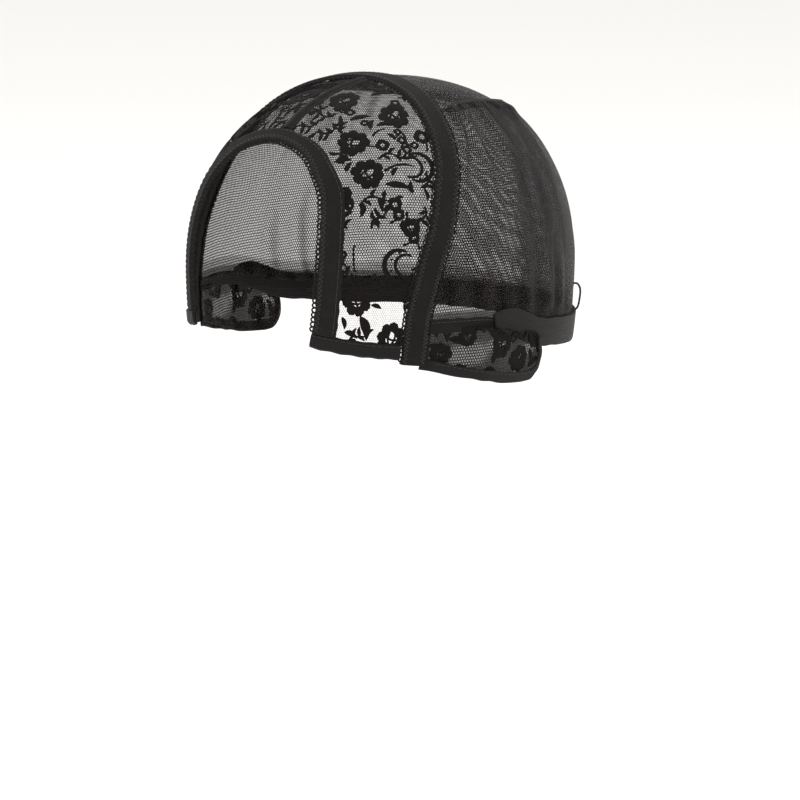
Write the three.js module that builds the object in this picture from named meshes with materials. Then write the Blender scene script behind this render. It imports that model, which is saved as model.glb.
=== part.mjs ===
// Wig cap for a U-part wig: lace front panels, an ear-to-ear elastic band, a stretch net crown
// and ear tabs with a nape strap. Millimetres, +Z up, the face side towards -Y, mirror plane X = 0.
// The origin is the point of the head under the middle of the crown, where the cap sits.
import * as THREE from 'three';
import { mergeVertices } from 'three/addons/utils/BufferGeometryUtils.js';

// The head that the cap is stretched over. Heights are taken from its widest level.
const HEAD_HALF_WIDTH = 80;
const HEAD_HALF_LENGTH = 91;
const CROWN_HEIGHT = 85.3;
const NARROWING_DEPTH = 125;
const PLAN_POWER = 2.1;
const RISE_POWER = 2.27;

// Layers of cloth, each counted outwards from the head.
const CLOTH_THICKNESS = 1;
const BAND_THICKNESS = 1.2;
const LAYER_GAP = 0.3;
const BUTT_GAP = 0.3;
const LAP = 3;
const SEAM_GAP = 0.6;

// Longest side of a facet, along a band and over a panel.
const BAND_STEP = 5.6;
const LACE_STEP = 5.4;
const NET_STEP = 5.4;
const TAB_STEP = 4.2;

// U-shaped opening at the forehead and the elastic binding round it.
const OPENING_WIDTH = 76;
const OPENING_TOP_HEIGHT = 63;
const OPENING_END_DROP = 20;
const OPENING_BINDING_WIDTH = 10.5;
const OPENING_BINDING_TOP_WIDTH = 7.6;

// Straight tapes.
const HAIRLINE_BINDING_WIDTH = 7;
const HAIRLINE_END_ROLL = 112;
const SEAM_TAPE_WIDTH = 3.4;

// Elastic band from ear to ear over the crown.
const EAR_BAND_WIDTH = 12;
const EAR_BAND_TOP_FORWARD = 11.5;
const EAR_BAND_END_FORWARD = 57;
const EAR_BAND_END_ROLL = 113.5;

// Crown net: the smooth top piece and the back piece that is gathered onto it.
const TOP_NET_HALF_WIDTH = 43;
const TOP_NET_LENGTH_BACK = 62;
const GATHER_START_ROLL = 27;
const GATHER_LAP = 2;
const PLEAT_RISE = 1.7;
const FOLD_RISE = 1.6;

// Elastic along the lower edge of the net.
const NAPE_BAND_WIDTH = 6.3;
const NAPE_BAND_EAR_DROP = 8.3;
const NAPE_BAND_BACK_DROP = 24;

// Ear tabs.
const TAB_FRONT_DROP = 30.6;
const TAB_LOWEST_DROP = 41.6;
const TAB_REAR_AZIMUTH = 100.5;
const TAB_REAR_TOP_DROP = 22.5;
const TAB_BINDING_WIDTH = 4.8;
const TAB_BINDING_REAR_WIDTH = 2.4;
const TAB_BINDING_THICKNESS = 1;

// Nape straps, the clasp that joins them and the thread loops above them.
const STRAP_WIDTH = 12.6;
const STRAP_THICKNESS = 1.2;
const STRAP_START_AZIMUTH = 79;
const STRAP_START_DROP = 9.2;
const STRAP_BACK_DROP = 24;
const STRAP_END_GAP = 2.4;
const CLASP_LENGTH = 18;
const CLASP_MARGIN = 1;
const CLASP_THICKNESS = 2.4;
const LOOP_AZIMUTH = 128;
const LOOP_FOOT_DROP = 19;
const LOOP_HEIGHT = 12.5;
const LOOP_REACH = 4;
const LOOP_THREAD = 1.1;

// Outline of the opening seen from the front, from its lower end to its top.
const OPENING_ROWS = [
  // rise share, width share
  [0, 0.91],
  [0.12, 0.96],
  [0.37, 1],
  [0.55, 0.98],
  [0.76, 0.87],
  [0.87, 0.69],
  [0.93, 0.54],
  [0.975, 0.33],
];

// Front edge of the ear-to-ear band, from the middle of the crown down to the hem.
const EAR_BAND_ROWS = [
  // roll share, forward share
  [-0.15, 0.105],
  [0, 0],
  [0.15, 0.105],
  [0.26, 0.23],
  [0.41, 0.43],
  [0.48, 0.56],
  [0.58, 0.71],
  [0.65, 0.82],
  [0.745, 0.91],
  [0.84, 0.97],
  [1, 1],
];

// Seam between the top net and the back net, from the ear-to-ear band to the middle of the back.
const GATHER_ROWS = [
  // half-width share, back share
  [1, -0.04],
  [0.98, 0.16],
  [0.93, 0.4],
  [0.81, 0.64],
  [0.58, 0.85],
  [0.3, 0.96],
  [0, 1],
];

// Top edge of the nape band: azimuth from the face, and drop from its ear value to its back value.
const NAPE_ROWS = [
  // azimuth, drop share
  [50, 0],
  [78, 0.13],
  [100, 0.57],
  [128, 0.8],
  [180, 1],
];

// Lower edge of the ear tab, between the ear-to-ear band and the rear corner.
const TAB_ROWS = [
  // azimuth, drop share
  [52, -0.1],
  [60, 0.17],
  [67.5, 0.42],
  [74, 0.6],
  [82, 0.83],
  [89, 0.96],
  [93, 1],
  [97, 0.9],
];

// Place along that edge, which goes on up the tab's rear, where the corner is.
const TAB_CORNER_SHARE = 0.74;

// Top edge of the nape strap.
const STRAP_ROWS = [
  // azimuth, drop share
  [78, 0],
  [86, -0.1],
  [94, 0.12],
  [101, 0.4],
  [112, 0.59],
  [128, 0.8],
  [180, 1],
];

// Pleats of the back net where it is gathered, on the right half.
const PLEAT_ROWS = [
  // place share, half-width share, rise share, reach share
  [0.035, 0.016, 0.75, 0.55],
  [0.085, 0.02, 1, 0.5],
  [0.14, 0.02, 0.9, 0.6],
  [0.2, 0.024, 0.7, 0.45],
  [0.265, 0.024, 0.8, 0.5],
  [0.335, 0.026, 0.6, 0.4],
  [0.415, 0.026, 0.6, 0.4],
];

// Soft upright folds of the back net above the nape band, on the right half.
const FOLD_ROWS = [
  // place share, half-width share, rise share, reach share
  [0.165, 0.022, 0.7, 0.4],
  [0.215, 0.02, 1, 0.5],
  [0.25, 0.018, 0.7, 0.4],
  [0.37, 0.025, 0.7, 0.45],
  [0.45, 0.025, 0.6, 0.4],
];

const FIRST_LIFT = 0;
const SECOND_LIFT = CLOTH_THICKNESS + LAYER_GAP;
const THIRD_LIFT = SECOND_LIFT + STRAP_THICKNESS + LAYER_GAP;

// Rows of the back net, close together where its edge comes down from the gather seam.
const BACK_NET_ROWS = [0, 0.02, 0.045, 0.075, 0.11, 0.2, 0.31, 0.43, 0.56, 0.69, 0.81, 0.91, 1];

// Share of the back net at each side that stays flat under the ear-to-ear band, and the share
// of its way down to the nape band at which its folds have run out.
const FLAT_SHARE = 0.05;
const FOLD_END = 0.93;

const CLOTH_BLACK = 0x2b2829;
const NET_BLACK = 0x3b3637;
const BAND_BLACK = 0x231f20;
const CLASP_BLACK = 0x1d1a1b;

const rad = THREE.MathUtils.degToRad;

// Value at a place in a two-column table, smooth from row to row.
function readTable(rows, at) {
  const last = rows.length - 1;
  const place = Math.min(Math.max(at, rows[0][0]), rows[last][0]);
  let k = 0;
  while (k < last - 1 && place > rows[k + 1][0]) k += 1;
  const slope = (i) => {
    const low = rows[Math.max(i - 1, 0)];
    const high = rows[Math.min(i + 1, last)];
    return (high[1] - low[1]) / (high[0] - low[0]);
  };
  const span = rows[k + 1][0] - rows[k][0];
  const u = (place - rows[k][0]) / span;
  const u2 = u * u;
  const u3 = u2 * u;
  return (
    (2 * u3 - 3 * u2 + 1) * rows[k][1] +
    (u3 - 2 * u2 + u) * span * slope(k) +
    (3 * u2 - 2 * u3) * rows[k + 1][1] +
    (u3 - u2) * span * slope(k + 1)
  );
}

// One on the head, less inside it, more outside it.
function headValue(p) {
  const across = (Math.abs(p.x) / HEAD_HALF_WIDTH) ** PLAN_POWER;
  const along = (Math.abs(p.y) / HEAD_HALF_LENGTH) ** PLAN_POWER;
  const height = p.z > 0 ? CROWN_HEIGHT : NARROWING_DEPTH;
  return (across + along) ** (RISE_POWER / PLAN_POWER) + (Math.abs(p.z) / height) ** RISE_POWER;
}

// The point of the head in the same direction from its middle.
function onHead(p) {
  return p.clone().multiplyScalar(headValue(p) ** (-1 / RISE_POWER));
}

function headNormal(p) {
  const step = 0.01;
  const slope = (axis) => {
    const high = p.clone();
    const low = p.clone();
    high[axis] += step;
    low[axis] -= step;
    return headValue(high) - headValue(low);
  };
  return new THREE.Vector3(slope('x'), slope('y'), slope('z')).normalize();
}

function lifted(p, lift) {
  return p.clone().addScaledVector(headNormal(p), lift);
}

// Point of the head at an azimuth from the face and a height over the widest level.
function roundPoint(azimuth, height) {
  const side = new THREE.Vector3(Math.sin(rad(azimuth)), -Math.cos(rad(azimuth)), 0);
  const reach = height > 0 ? CROWN_HEIGHT : NARROWING_DEPTH;
  const share = (1 - (Math.abs(height) / reach) ** RISE_POWER) ** (1 / RISE_POWER);
  const p = onHead(side).multiplyScalar(share);
  p.z = height;
  return p;
}

// Point of the face side at a place across and a height.
function facePoint(across, height) {
  const reach = height > 0 ? CROWN_HEIGHT : NARROWING_DEPTH;
  const share = (1 - (Math.abs(height) / reach) ** RISE_POWER) ** (1 / RISE_POWER);
  const rest = share ** PLAN_POWER - (Math.abs(across) / HEAD_HALF_WIDTH) ** PLAN_POWER;
  return new THREE.Vector3(across, -HEAD_HALF_LENGTH * rest ** (1 / PLAN_POWER), height);
}

// Point of the head at a roll from straight up and a distance forward of its middle.
function overPoint(roll, forward) {
  const aim = new THREE.Vector3(Math.sin(rad(roll)), 0, Math.cos(rad(roll)));
  let near = 0;
  let far = 2 * HEAD_HALF_LENGTH;
  for (let n = 0; n < 40; n += 1) {
    const middle = (near + far) / 2;
    const p = aim.clone().multiplyScalar(middle).setY(-forward);
    if (headValue(p) < 1) near = middle;
    else far = middle;
  }
  return aim.multiplyScalar(near).setY(-forward);
}

// A line is a function from 0..1 to a point of the head.
function smoothLine(points) {
  const curve = new THREE.CatmullRomCurve3(points, false, 'centripetal');
  curve.arcLengthDivisions = 400;
  return (u) => onHead(curve.getPointAt(Math.min(Math.max(u, 0), 1)));
}

function straightLine(from, to) {
  return (u) => onHead(from.clone().lerp(to, u));
}

// How many steps of about a length a line takes.
function stepsAlong(line, step) {
  return Math.max(1, Math.round(lengthOf(line) / step));
}

function section(line, from, to) {
  return (u) => line(from + (to - from) * u);
}

// A line beside another one on the head, to the left of its direction seen from outside.
function beside(line, distance) {
  return (u) => {
    const step = 0.004;
    const tangent = line(Math.min(u + step, 1)).sub(line(Math.max(u - step, 0)));
    const p = line(u);
    const width = typeof distance === 'function' ? distance(u) : distance;
    return onHead(p.clone().addScaledVector(headNormal(p).cross(tangent).normalize(), width));
  };
}

// How high a point is over the nearest point of a line.
function heightOver(line, p) {
  let nearest = line(0);
  for (let n = 1; n <= 200; n += 1) {
    const q = line(n / 200);
    if (q.distanceTo(p) < nearest.distanceTo(p)) nearest = q;
  }
  return p.z - nearest.z;
}

// Place on a rising line, between 0 and a limit, where it is a height over another line.
function placeOver(line, limit, other, height) {
  let low = 0;
  let high = limit;
  for (let n = 0; n < 24; n += 1) {
    const middle = (low + high) / 2;
    if (heightOver(other, line(middle)) < height) low = middle;
    else high = middle;
  }
  return high;
}

function lengthOf(line) {
  let total = 0;
  for (let n = 0; n < 100; n += 1) total += line(n / 100).distanceTo(line((n + 1) / 100));
  return total;
}

// A strip between two lines that run the same way.
function ruled(lineA, lineB) {
  return (s, t) => onHead(lineA(s).lerp(lineB(s), t));
}

// A patch inside four lines: A and B run with s, the start and end lines run with t.
function patch(lineA, lineB, startLine, endLine) {
  const corner = (s, t) => (t ? lineB : lineA)(s);
  return (s, t) => {
    const p = lineA(s).multiplyScalar(1 - t).addScaledVector(lineB(s), t);
    p.addScaledVector(startLine(t), 1 - s).addScaledVector(endLine(t), s);
    p.addScaledVector(corner(0, 0), -(1 - s) * (1 - t)).addScaledVector(corner(1, 0), -s * (1 - t));
    p.addScaledVector(corner(0, 1), -(1 - s) * t).addScaledVector(corner(1, 1), -s * t);
    return onHead(p);
  };
}

// Places of a grid's lines: given as they are, or evenly spread when given as a number.
function spread(places) {
  if (Array.isArray(places)) return places;
  return Array.from({ length: places + 1 }, (_, n) => n / places);
}

// Closed cloth: the same grid twice, at the lift and a thickness above it, walled at the edges.
function cloth(surface, acrossPlaces, alongPlaces, lift, thickness) {
  const liftAt = typeof lift === 'function' ? lift : () => lift;
  const across = spread(acrossPlaces);
  const along = spread(alongPlaces);
  const columns = across.length - 1;
  const rows = along.length - 1;
  const positions = [];
  const index = [];
  const layer = (columns + 1) * (rows + 1);
  for (const side of [0, 1]) {
    for (const s of across) {
      for (const t of along) {
        const base = surface(s, t);
        const p = lifted(base, liftAt(s, t, base) + side * thickness);
        positions.push(p.x, p.y, p.z - CROWN_HEIGHT);
      }
    }
  }
  const at = (i, j, side) => side * layer + i * (rows + 1) + j;
  const quad = (a, b, c, d) => index.push(a, b, c, a, c, d);
  for (let i = 0; i < columns; i += 1) {
    for (let j = 0; j < rows; j += 1) {
      quad(at(i, j, 1), at(i + 1, j, 1), at(i + 1, j + 1, 1), at(i, j + 1, 1));
      quad(at(i, j, 0), at(i, j + 1, 0), at(i + 1, j + 1, 0), at(i + 1, j, 0));
    }
    quad(at(i, 0, 0), at(i + 1, 0, 0), at(i + 1, 0, 1), at(i, 0, 1));
    quad(at(i + 1, rows, 0), at(i, rows, 0), at(i, rows, 1), at(i + 1, rows, 1));
  }
  for (let j = 0; j < rows; j += 1) {
    quad(at(0, j + 1, 0), at(0, j, 0), at(0, j, 1), at(0, j + 1, 1));
    quad(at(columns, j, 0), at(columns, j + 1, 0), at(columns, j + 1, 1), at(columns, j, 1));
  }
  const geometry = new THREE.BufferGeometry();
  geometry.setAttribute('position', new THREE.Float32BufferAttribute(positions, 3));
  geometry.setIndex(index);
  return facingOut(geometry);
}

// Turns the faces round when the enclosed volume comes out negative.
function facingOut(geometry) {
  if (!geometry.index) geometry = mergeVertices(geometry.deleteAttribute('uv').deleteAttribute('normal'));
  const place = geometry.attributes.position;
  const index = geometry.index.array;
  const corner = [new THREE.Vector3(), new THREE.Vector3(), new THREE.Vector3()];
  let volume = 0;
  for (let k = 0; k < index.length; k += 3) {
    corner.forEach((p, n) => p.fromBufferAttribute(place, index[k + n]));
    volume += corner[0].dot(corner[1].clone().cross(corner[2]));
  }
  if (volume < 0) {
    for (let k = 0; k < index.length; k += 3) {
      [index[k + 1], index[k + 2]] = [index[k + 2], index[k + 1]];
    }
  }
  geometry.computeVertexNormals();
  return geometry;
}

function mirrored(geometry) {
  const copy = geometry.clone();
  copy.applyMatrix4(new THREE.Matrix4().makeScale(-1, 1, 1));
  return facingOut(copy);
}

// Lines that the pieces share. Those with a right and a left half start on the right.

// Inner edge of the opening, from its lower right end over its top.
function openingEdge() {
  const rise = OPENING_TOP_HEIGHT + OPENING_END_DROP;
  const right = OPENING_ROWS.map(([up, wide]) =>
    facePoint((wide * OPENING_WIDTH) / 2, up * rise - OPENING_END_DROP));
  const left = right.map((p) => p.clone().setX(-p.x)).reverse();
  return smoothLine([...right, facePoint(0, OPENING_TOP_HEIGHT), ...left]);
}

// The opening binding is drawn narrower where it turns over the top.
function openingBindingWidth(u) {
  const ease = THREE.MathUtils.smoothstep(1 - 2 * Math.abs(u - 0.5), 0.55, 0.95);
  return OPENING_BINDING_WIDTH + (OPENING_BINDING_TOP_WIDTH - OPENING_BINDING_WIDTH) * ease;
}

// Front edge of the ear-to-ear band by roll, positive on the right.
function earBandFront(roll) {
  const share = readTable(EAR_BAND_ROWS, Math.abs(roll) / EAR_BAND_END_ROLL);
  const forward = EAR_BAND_TOP_FORWARD + share * (EAR_BAND_END_FORWARD - EAR_BAND_TOP_FORWARD);
  return overPoint(roll, forward);
}

function earBandLine(fromRoll, toRoll, behind) {
  const left = toRoll > fromRoll ? behind : -behind;
  return beside((u) => earBandFront(fromRoll + (toRoll - fromRoll) * u), left);
}

// The line under the rear of the band where the cloth behind it ends.
function earBandLap(fromRoll, toRoll) {
  return earBandLine(fromRoll, toRoll, EAR_BAND_WIDTH - LAP);
}

// Lower edge of the hairline binding, from the opening to the ear-to-ear band.
function hairlineEdge() {
  return straightLine(openingEdge()(0), earBandFront(HAIRLINE_END_ROLL));
}

function napeTop(azimuth) {
  const share = readTable(NAPE_ROWS, Math.min(azimuth, 360 - azimuth));
  const drop = NAPE_BAND_EAR_DROP + share * (NAPE_BAND_BACK_DROP - NAPE_BAND_EAR_DROP);
  return roundPoint(azimuth, -drop);
}

function napeLine(fromAzimuth, toAzimuth, below) {
  return beside((u) => napeTop(fromAzimuth + (toAzimuth - fromAzimuth) * u), -below);
}

function strapTop(azimuth) {
  const share = readTable(STRAP_ROWS, azimuth);
  return roundPoint(azimuth, -(STRAP_START_DROP + share * (STRAP_BACK_DROP - STRAP_START_DROP)));
}

function azimuthOf(p) {
  return THREE.MathUtils.radToDeg(Math.atan2(p.x, -p.y));
}

// Roll at which the lap line of the ear-to-ear band is a distance below the nape band's top.
function rollAtNape(below) {
  let high = 80;
  let low = EAR_BAND_END_ROLL;
  const lap = earBandLap(0, EAR_BAND_END_ROLL);
  for (let n = 0; n < 24; n += 1) {
    const middle = (low + high) / 2;
    const p = lap(middle / EAR_BAND_END_ROLL);
    if (p.z > napeTop(azimuthOf(p)).z - below) high = middle;
    else low = middle;
  }
  return (low + high) / 2;
}

// The gather seam from the right end of the top net, round its back, to the left end.
function gatherSeam() {
  const start = earBandLap(0, GATHER_START_ROLL)(1);
  const right = GATHER_ROWS.map(([wide, back]) => {
    const p = new THREE.Vector3(wide * TOP_NET_HALF_WIDTH, back * TOP_NET_LENGTH_BACK, 0);
    const share = headValue(p) ** (1 / RISE_POWER);
    return p.setZ(CROWN_HEIGHT * (1 - share ** RISE_POWER) ** (1 / RISE_POWER));
  });
  const half = [start, ...right];
  const left = half.slice(0, -1).map((p) => p.clone().setX(-p.x)).reverse();
  return smoothLine([...half, ...left]);
}

// Outer edge of the right tab: along its lower side, round the rear corner and up.
function tabEdge() {
  const range = TAB_LOWEST_DROP - TAB_FRONT_DROP;
  const start = azimuthOf(earBandLap(0, EAR_BAND_END_ROLL)(1));
  const place = (azimuth) => roundPoint(azimuth, -(TAB_FRONT_DROP + readTable(TAB_ROWS, azimuth) * range));
  const rows = TAB_ROWS.filter(([azimuth]) => azimuth > start + 2);
  const rise = TAB_LOWEST_DROP - TAB_REAR_TOP_DROP;
  return smoothLine([
    place(start),
    ...rows.map(([azimuth]) => place(azimuth)),
    roundPoint(TAB_REAR_AZIMUTH - 0.6, -(TAB_LOWEST_DROP - 0.3 * rise)),
    roundPoint(TAB_REAR_AZIMUTH, -(TAB_LOWEST_DROP - 0.6 * rise)),
    roundPoint(TAB_REAR_AZIMUTH - 1, -TAB_REAR_TOP_DROP),
  ]);
}

// The tab lies on the head at the ear-to-ear band and over the strap at its rear.
function tabLift(p) {
  const ease = THREE.MathUtils.smoothstep(azimuthOf(p), STRAP_START_AZIMUTH - 19, STRAP_START_AZIMUTH - 2);
  return FIRST_LIFT + (THIRD_LIFT - FIRST_LIFT) * ease;
}

// The pieces.

function makeOpeningBinding() {
  const inner = openingEdge();
  const outer = beside(inner, (u) => -openingBindingWidth(u));
  const hairlineTop = beside(hairlineEdge(), HAIRLINE_BINDING_WIDTH);
  const legShare = 0.3;
  const endInner = placeOver(inner, legShare, hairlineTop, BUTT_GAP);
  const endOuter = placeOver(outer, legShare, hairlineTop, BUTT_GAP);
  const strip = ruled(section(inner, endInner, 1 - endInner), section(outer, endOuter, 1 - endOuter));
  return cloth(strip, stepsAlong(inner, BAND_STEP), 2, SECOND_LIFT, BAND_THICKNESS);
}

function makeLaceFront() {
  const edge = openingEdge();
  const length = lengthOf(edge);
  const openingSide = section(
    beside(edge, (u) => LAP - openingBindingWidth(u)),
    0.5 - BUTT_GAP / length,
    (HAIRLINE_BINDING_WIDTH - LAP) / length,
  );
  const reach = lengthOf(earBandLine(0, HAIRLINE_END_ROLL, LAP));
  const startRoll = THREE.MathUtils.radToDeg(BUTT_GAP / CROWN_HEIGHT);
  const endRoll = HAIRLINE_END_ROLL * (1 - (HAIRLINE_BINDING_WIDTH - LAP) / reach);
  const bandSide = earBandLine(startRoll, endRoll, LAP);
  const seamSide = straightLine(openingSide(0), bandSide(0));
  const hairlineSide = straightLine(openingSide(1), bandSide(1));
  const surface = patch(openingSide, bandSide, seamSide, hairlineSide);
  const columns = stepsAlong(bandSide, LACE_STEP);
  return cloth(surface, columns, stepsAlong(seamSide, LACE_STEP), FIRST_LIFT, CLOTH_THICKNESS);
}

function makeCentreSeamTape() {
  const front = beside(openingEdge(), -openingBindingWidth(0.5) - BUTT_GAP)(0.5);
  const rear = earBandLine(GATHER_START_ROLL, -GATHER_START_ROLL, -BUTT_GAP)(0.5);
  const half = SEAM_TAPE_WIDTH / 2;
  const side = (x) => straightLine(front.clone().setX(x), rear.clone().setX(x));
  const steps = stepsAlong(side(half), BAND_STEP);
  return cloth(ruled(side(-half), side(half)), steps, 1, SECOND_LIFT, CLOTH_THICKNESS);
}

function makeEarToEarBand() {
  const front = earBandLine(EAR_BAND_END_ROLL, -EAR_BAND_END_ROLL, 0);
  const rear = earBandLine(EAR_BAND_END_ROLL, -EAR_BAND_END_ROLL, EAR_BAND_WIDTH);
  return cloth(ruled(front, rear), stepsAlong(rear, BAND_STEP), 2, SECOND_LIFT, BAND_THICKNESS);
}

// The back net stays flat under the ear-to-ear band, and rises clear of it.
function clearOfBand(s) {
  return THREE.MathUtils.smoothstep(Math.min(s, 1 - s), 0.02, FLAT_SHARE);
}

function makeCrownTopNet() {
  const seamSide = beside(gatherSeam(), (u) => {
    const under = THREE.MathUtils.smoothstep(Math.min(u, 1 - u), FLAT_SHARE, 2 * FLAT_SHARE);
    return SEAM_GAP - (SEAM_GAP + GATHER_LAP) * under;
  });
  const startRoll = GATHER_START_ROLL - 2;
  const bandSide = earBandLap(startRoll, -startRoll);
  const right = straightLine(bandSide(0), seamSide(0));
  const left = straightLine(bandSide(1), seamSide(1));
  const middle = straightLine(bandSide(0.5), seamSide(0.5));
  const columns = stepsAlong(seamSide, NET_STEP);
  const surface = patch(bandSide, seamSide, right, left);
  return cloth(surface, columns, stepsAlong(middle, 2 * NET_STEP), FIRST_LIFT, CLOTH_THICKNESS);
}

function bump(offset, halfWidth) {
  const share = Math.abs(offset) / halfWidth;
  return share < 1 ? (1 + Math.cos(Math.PI * share)) / 2 : 0;
}

// The back net lies over the top net at the gather seam, and rises in pleats and folds.
function netLift(s, t) {
  const place = Math.min(s, 1 - s);
  let lift = SECOND_LIFT * (1 - THREE.MathUtils.smoothstep(t, 0.03, 0.11));
  for (const [at, halfWidth, rise, reach] of PLEAT_ROWS) {
    const fade = 1 - THREE.MathUtils.smoothstep(t, 0.06, reach);
    lift += PLEAT_RISE * rise * fade * bump(place - at, halfWidth);
  }
  for (const [at, halfWidth, rise, reach] of FOLD_ROWS) {
    const low = THREE.MathUtils.smoothstep(t, FOLD_END - reach, FOLD_END - reach / 2);
    const hem = 1 - THREE.MathUtils.smoothstep(t, FOLD_END - 0.1, FOLD_END);
    lift += FOLD_RISE * rise * low * hem * bump(place - at, halfWidth);
  }
  return FIRST_LIFT + lift * clearOfBand(s);
}

function makeCrownBackNet() {
  const endRoll = rollAtNape(-BUTT_GAP);
  const right = earBandLap(GATHER_START_ROLL, endRoll);
  const left = earBandLap(-GATHER_START_ROLL, -endRoll);
  const azimuth = azimuthOf(right(1));
  const lower = napeLine(azimuth, 360 - azimuth, -BUTT_GAP);
  const surface = patch(gatherSeam(), lower, right, left);
  return cloth(surface, stepsAlong(lower, NET_STEP), BACK_NET_ROWS, netLift, CLOTH_THICKNESS);
}

function makeNapeBand() {
  const azimuth = azimuthOf(earBandLap(0, rollAtNape(0))(1));
  const top = napeLine(azimuth, 360 - azimuth, 0);
  const bottom = napeLine(azimuth, 360 - azimuth, NAPE_BAND_WIDTH);
  return cloth(ruled(top, bottom), stepsAlong(top, BAND_STEP), 1, FIRST_LIFT, CLOTH_THICKNESS);
}

function makeHairlineBinding() {
  const line = hairlineEdge();
  const end = 1 - BUTT_GAP / lengthOf(line);
  const strip = ruled(section(line, 0, end), section(beside(line, HAIRLINE_BINDING_WIDTH), 0, end));
  return cloth(strip, stepsAlong(line, BAND_STEP), 1, SECOND_LIFT, BAND_THICKNESS);
}

function makeTabLace() {
  const edge = tabEdge();
  const drop = NAPE_BAND_WIDTH + SEAM_GAP;
  const frontRoll = rollAtNape(drop);
  const front = earBandLap(frontRoll, EAR_BAND_END_ROLL);
  const rear = (t) => edge(1 - (1 - TAB_CORNER_SHARE) * t);
  const top = napeLine(azimuthOf(front(0)), azimuthOf(rear(0)), drop);
  const surface = patch(top, section(edge, 0, TAB_CORNER_SHARE), front, rear);
  const columns = stepsAlong(top, TAB_STEP);
  return cloth(surface, columns, stepsAlong(rear, TAB_STEP), (s, t, p) => tabLift(p), CLOTH_THICKNESS);
}

function makeTabBinding() {
  const edge = tabEdge();
  const start = (LAP + BUTT_GAP) / lengthOf(edge);
  const inner = beside(edge, (u) => {
    const ease = THREE.MathUtils.smoothstep(u, TAB_CORNER_SHARE - 0.05, TAB_CORNER_SHARE + 0.15);
    return TAB_BINDING_WIDTH + (TAB_BINDING_REAR_WIDTH - TAB_BINDING_WIDTH) * ease;
  });
  const strip = ruled(section(edge, start, 1), section(inner, start, 1));
  const lift = (s, t, p) => tabLift(p) + CLOTH_THICKNESS + LAYER_GAP;
  return cloth(strip, stepsAlong(edge, TAB_STEP), 1, lift, TAB_BINDING_THICKNESS);
}

function makeNapeStrap() {
  const endAzimuth = 180 - THREE.MathUtils.radToDeg(STRAP_END_GAP / 2 / HEAD_HALF_LENGTH);
  const line = (u) => strapTop(STRAP_START_AZIMUTH + (endAzimuth - STRAP_START_AZIMUTH) * u);
  const strip = ruled(line, beside(line, -STRAP_WIDTH));
  return cloth(strip, stepsAlong(line, BAND_STEP), 2, SECOND_LIFT, STRAP_THICKNESS);
}

function makeNapeClasp() {
  const half = THREE.MathUtils.radToDeg(CLASP_LENGTH / 2 / HEAD_HALF_LENGTH);
  const middle = strapTop(180).z - STRAP_WIDTH / 2;
  const reach = STRAP_WIDTH / 2 + CLASP_MARGIN;
  const line = (height) => (u) => roundPoint(180 - half + 2 * half * u, height);
  const strip = ruled(line(middle + reach), line(middle - reach));
  return cloth(strip, stepsAlong(line(middle), BAND_STEP), 1, THIRD_LIFT, CLASP_THICKNESS);
}

function makeNapeLoop() {
  const foot = CLOTH_THICKNESS + LAYER_GAP;
  const place = (up, out) => lifted(roundPoint(LOOP_AZIMUTH, up * LOOP_HEIGHT - LOOP_FOOT_DROP), foot + out);
  const reach = LOOP_REACH - LOOP_THREAD / 2;
  const path = new THREE.CatmullRomCurve3([
    place(0.03, 0),
    place(0, 0.3 * reach),
    place(0.1, 0.75 * reach),
    place(0.45, reach),
    place(0.8, reach),
    place(0.97, 0.6 * reach),
    place(0.97, 0),
  ].map((p) => p.setZ(p.z - CROWN_HEIGHT)));
  const round = new THREE.Shape().absarc(0, 0, LOOP_THREAD / 2, 0, 2 * Math.PI);
  return new THREE.ExtrudeGeometry(round, { steps: 14, curveSegments: 4, extrudePath: path });
}

function dark(colour, roughness) {
  return new THREE.MeshStandardMaterial({ color: colour, roughness, metalness: 0 });
}

const lace = dark(CLOTH_BLACK, 0.85);
const net = dark(NET_BLACK, 0.8);
const elastic = dark(BAND_BLACK, 0.8);
const claspPlastic = dark(CLASP_BLACK, 0.5);

const cap = new THREE.Group();
cap.name = 'wig_cap';

function add(name, geometry, material) {
  const mesh = new THREE.Mesh(geometry, material);
  mesh.name = name;
  cap.add(mesh);
}

function addPair(name, geometry, material) {
  add(`${name}_right`, geometry, material);
  add(`${name}_left`, mirrored(geometry), material);
}

add('opening_binding', makeOpeningBinding(), elastic);
addPair('lace_front', makeLaceFront(), lace);
add('centre_seam_tape', makeCentreSeamTape(), elastic);
add('ear_to_ear_band', makeEarToEarBand(), elastic);
add('crown_top_net', makeCrownTopNet(), net);
add('crown_back_net', makeCrownBackNet(), net);
add('nape_band', makeNapeBand(), elastic);
addPair('hairline_binding', makeHairlineBinding(), elastic);
addPair('ear_tab_lace', makeTabLace(), lace);
addPair('ear_tab_binding', makeTabBinding(), elastic);
addPair('nape_strap', makeNapeStrap(), elastic);
add('nape_clasp', makeNapeClasp(), claspPlastic);
addPair('nape_loop', makeNapeLoop(), elastic);

export default cap;
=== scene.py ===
import math

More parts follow.
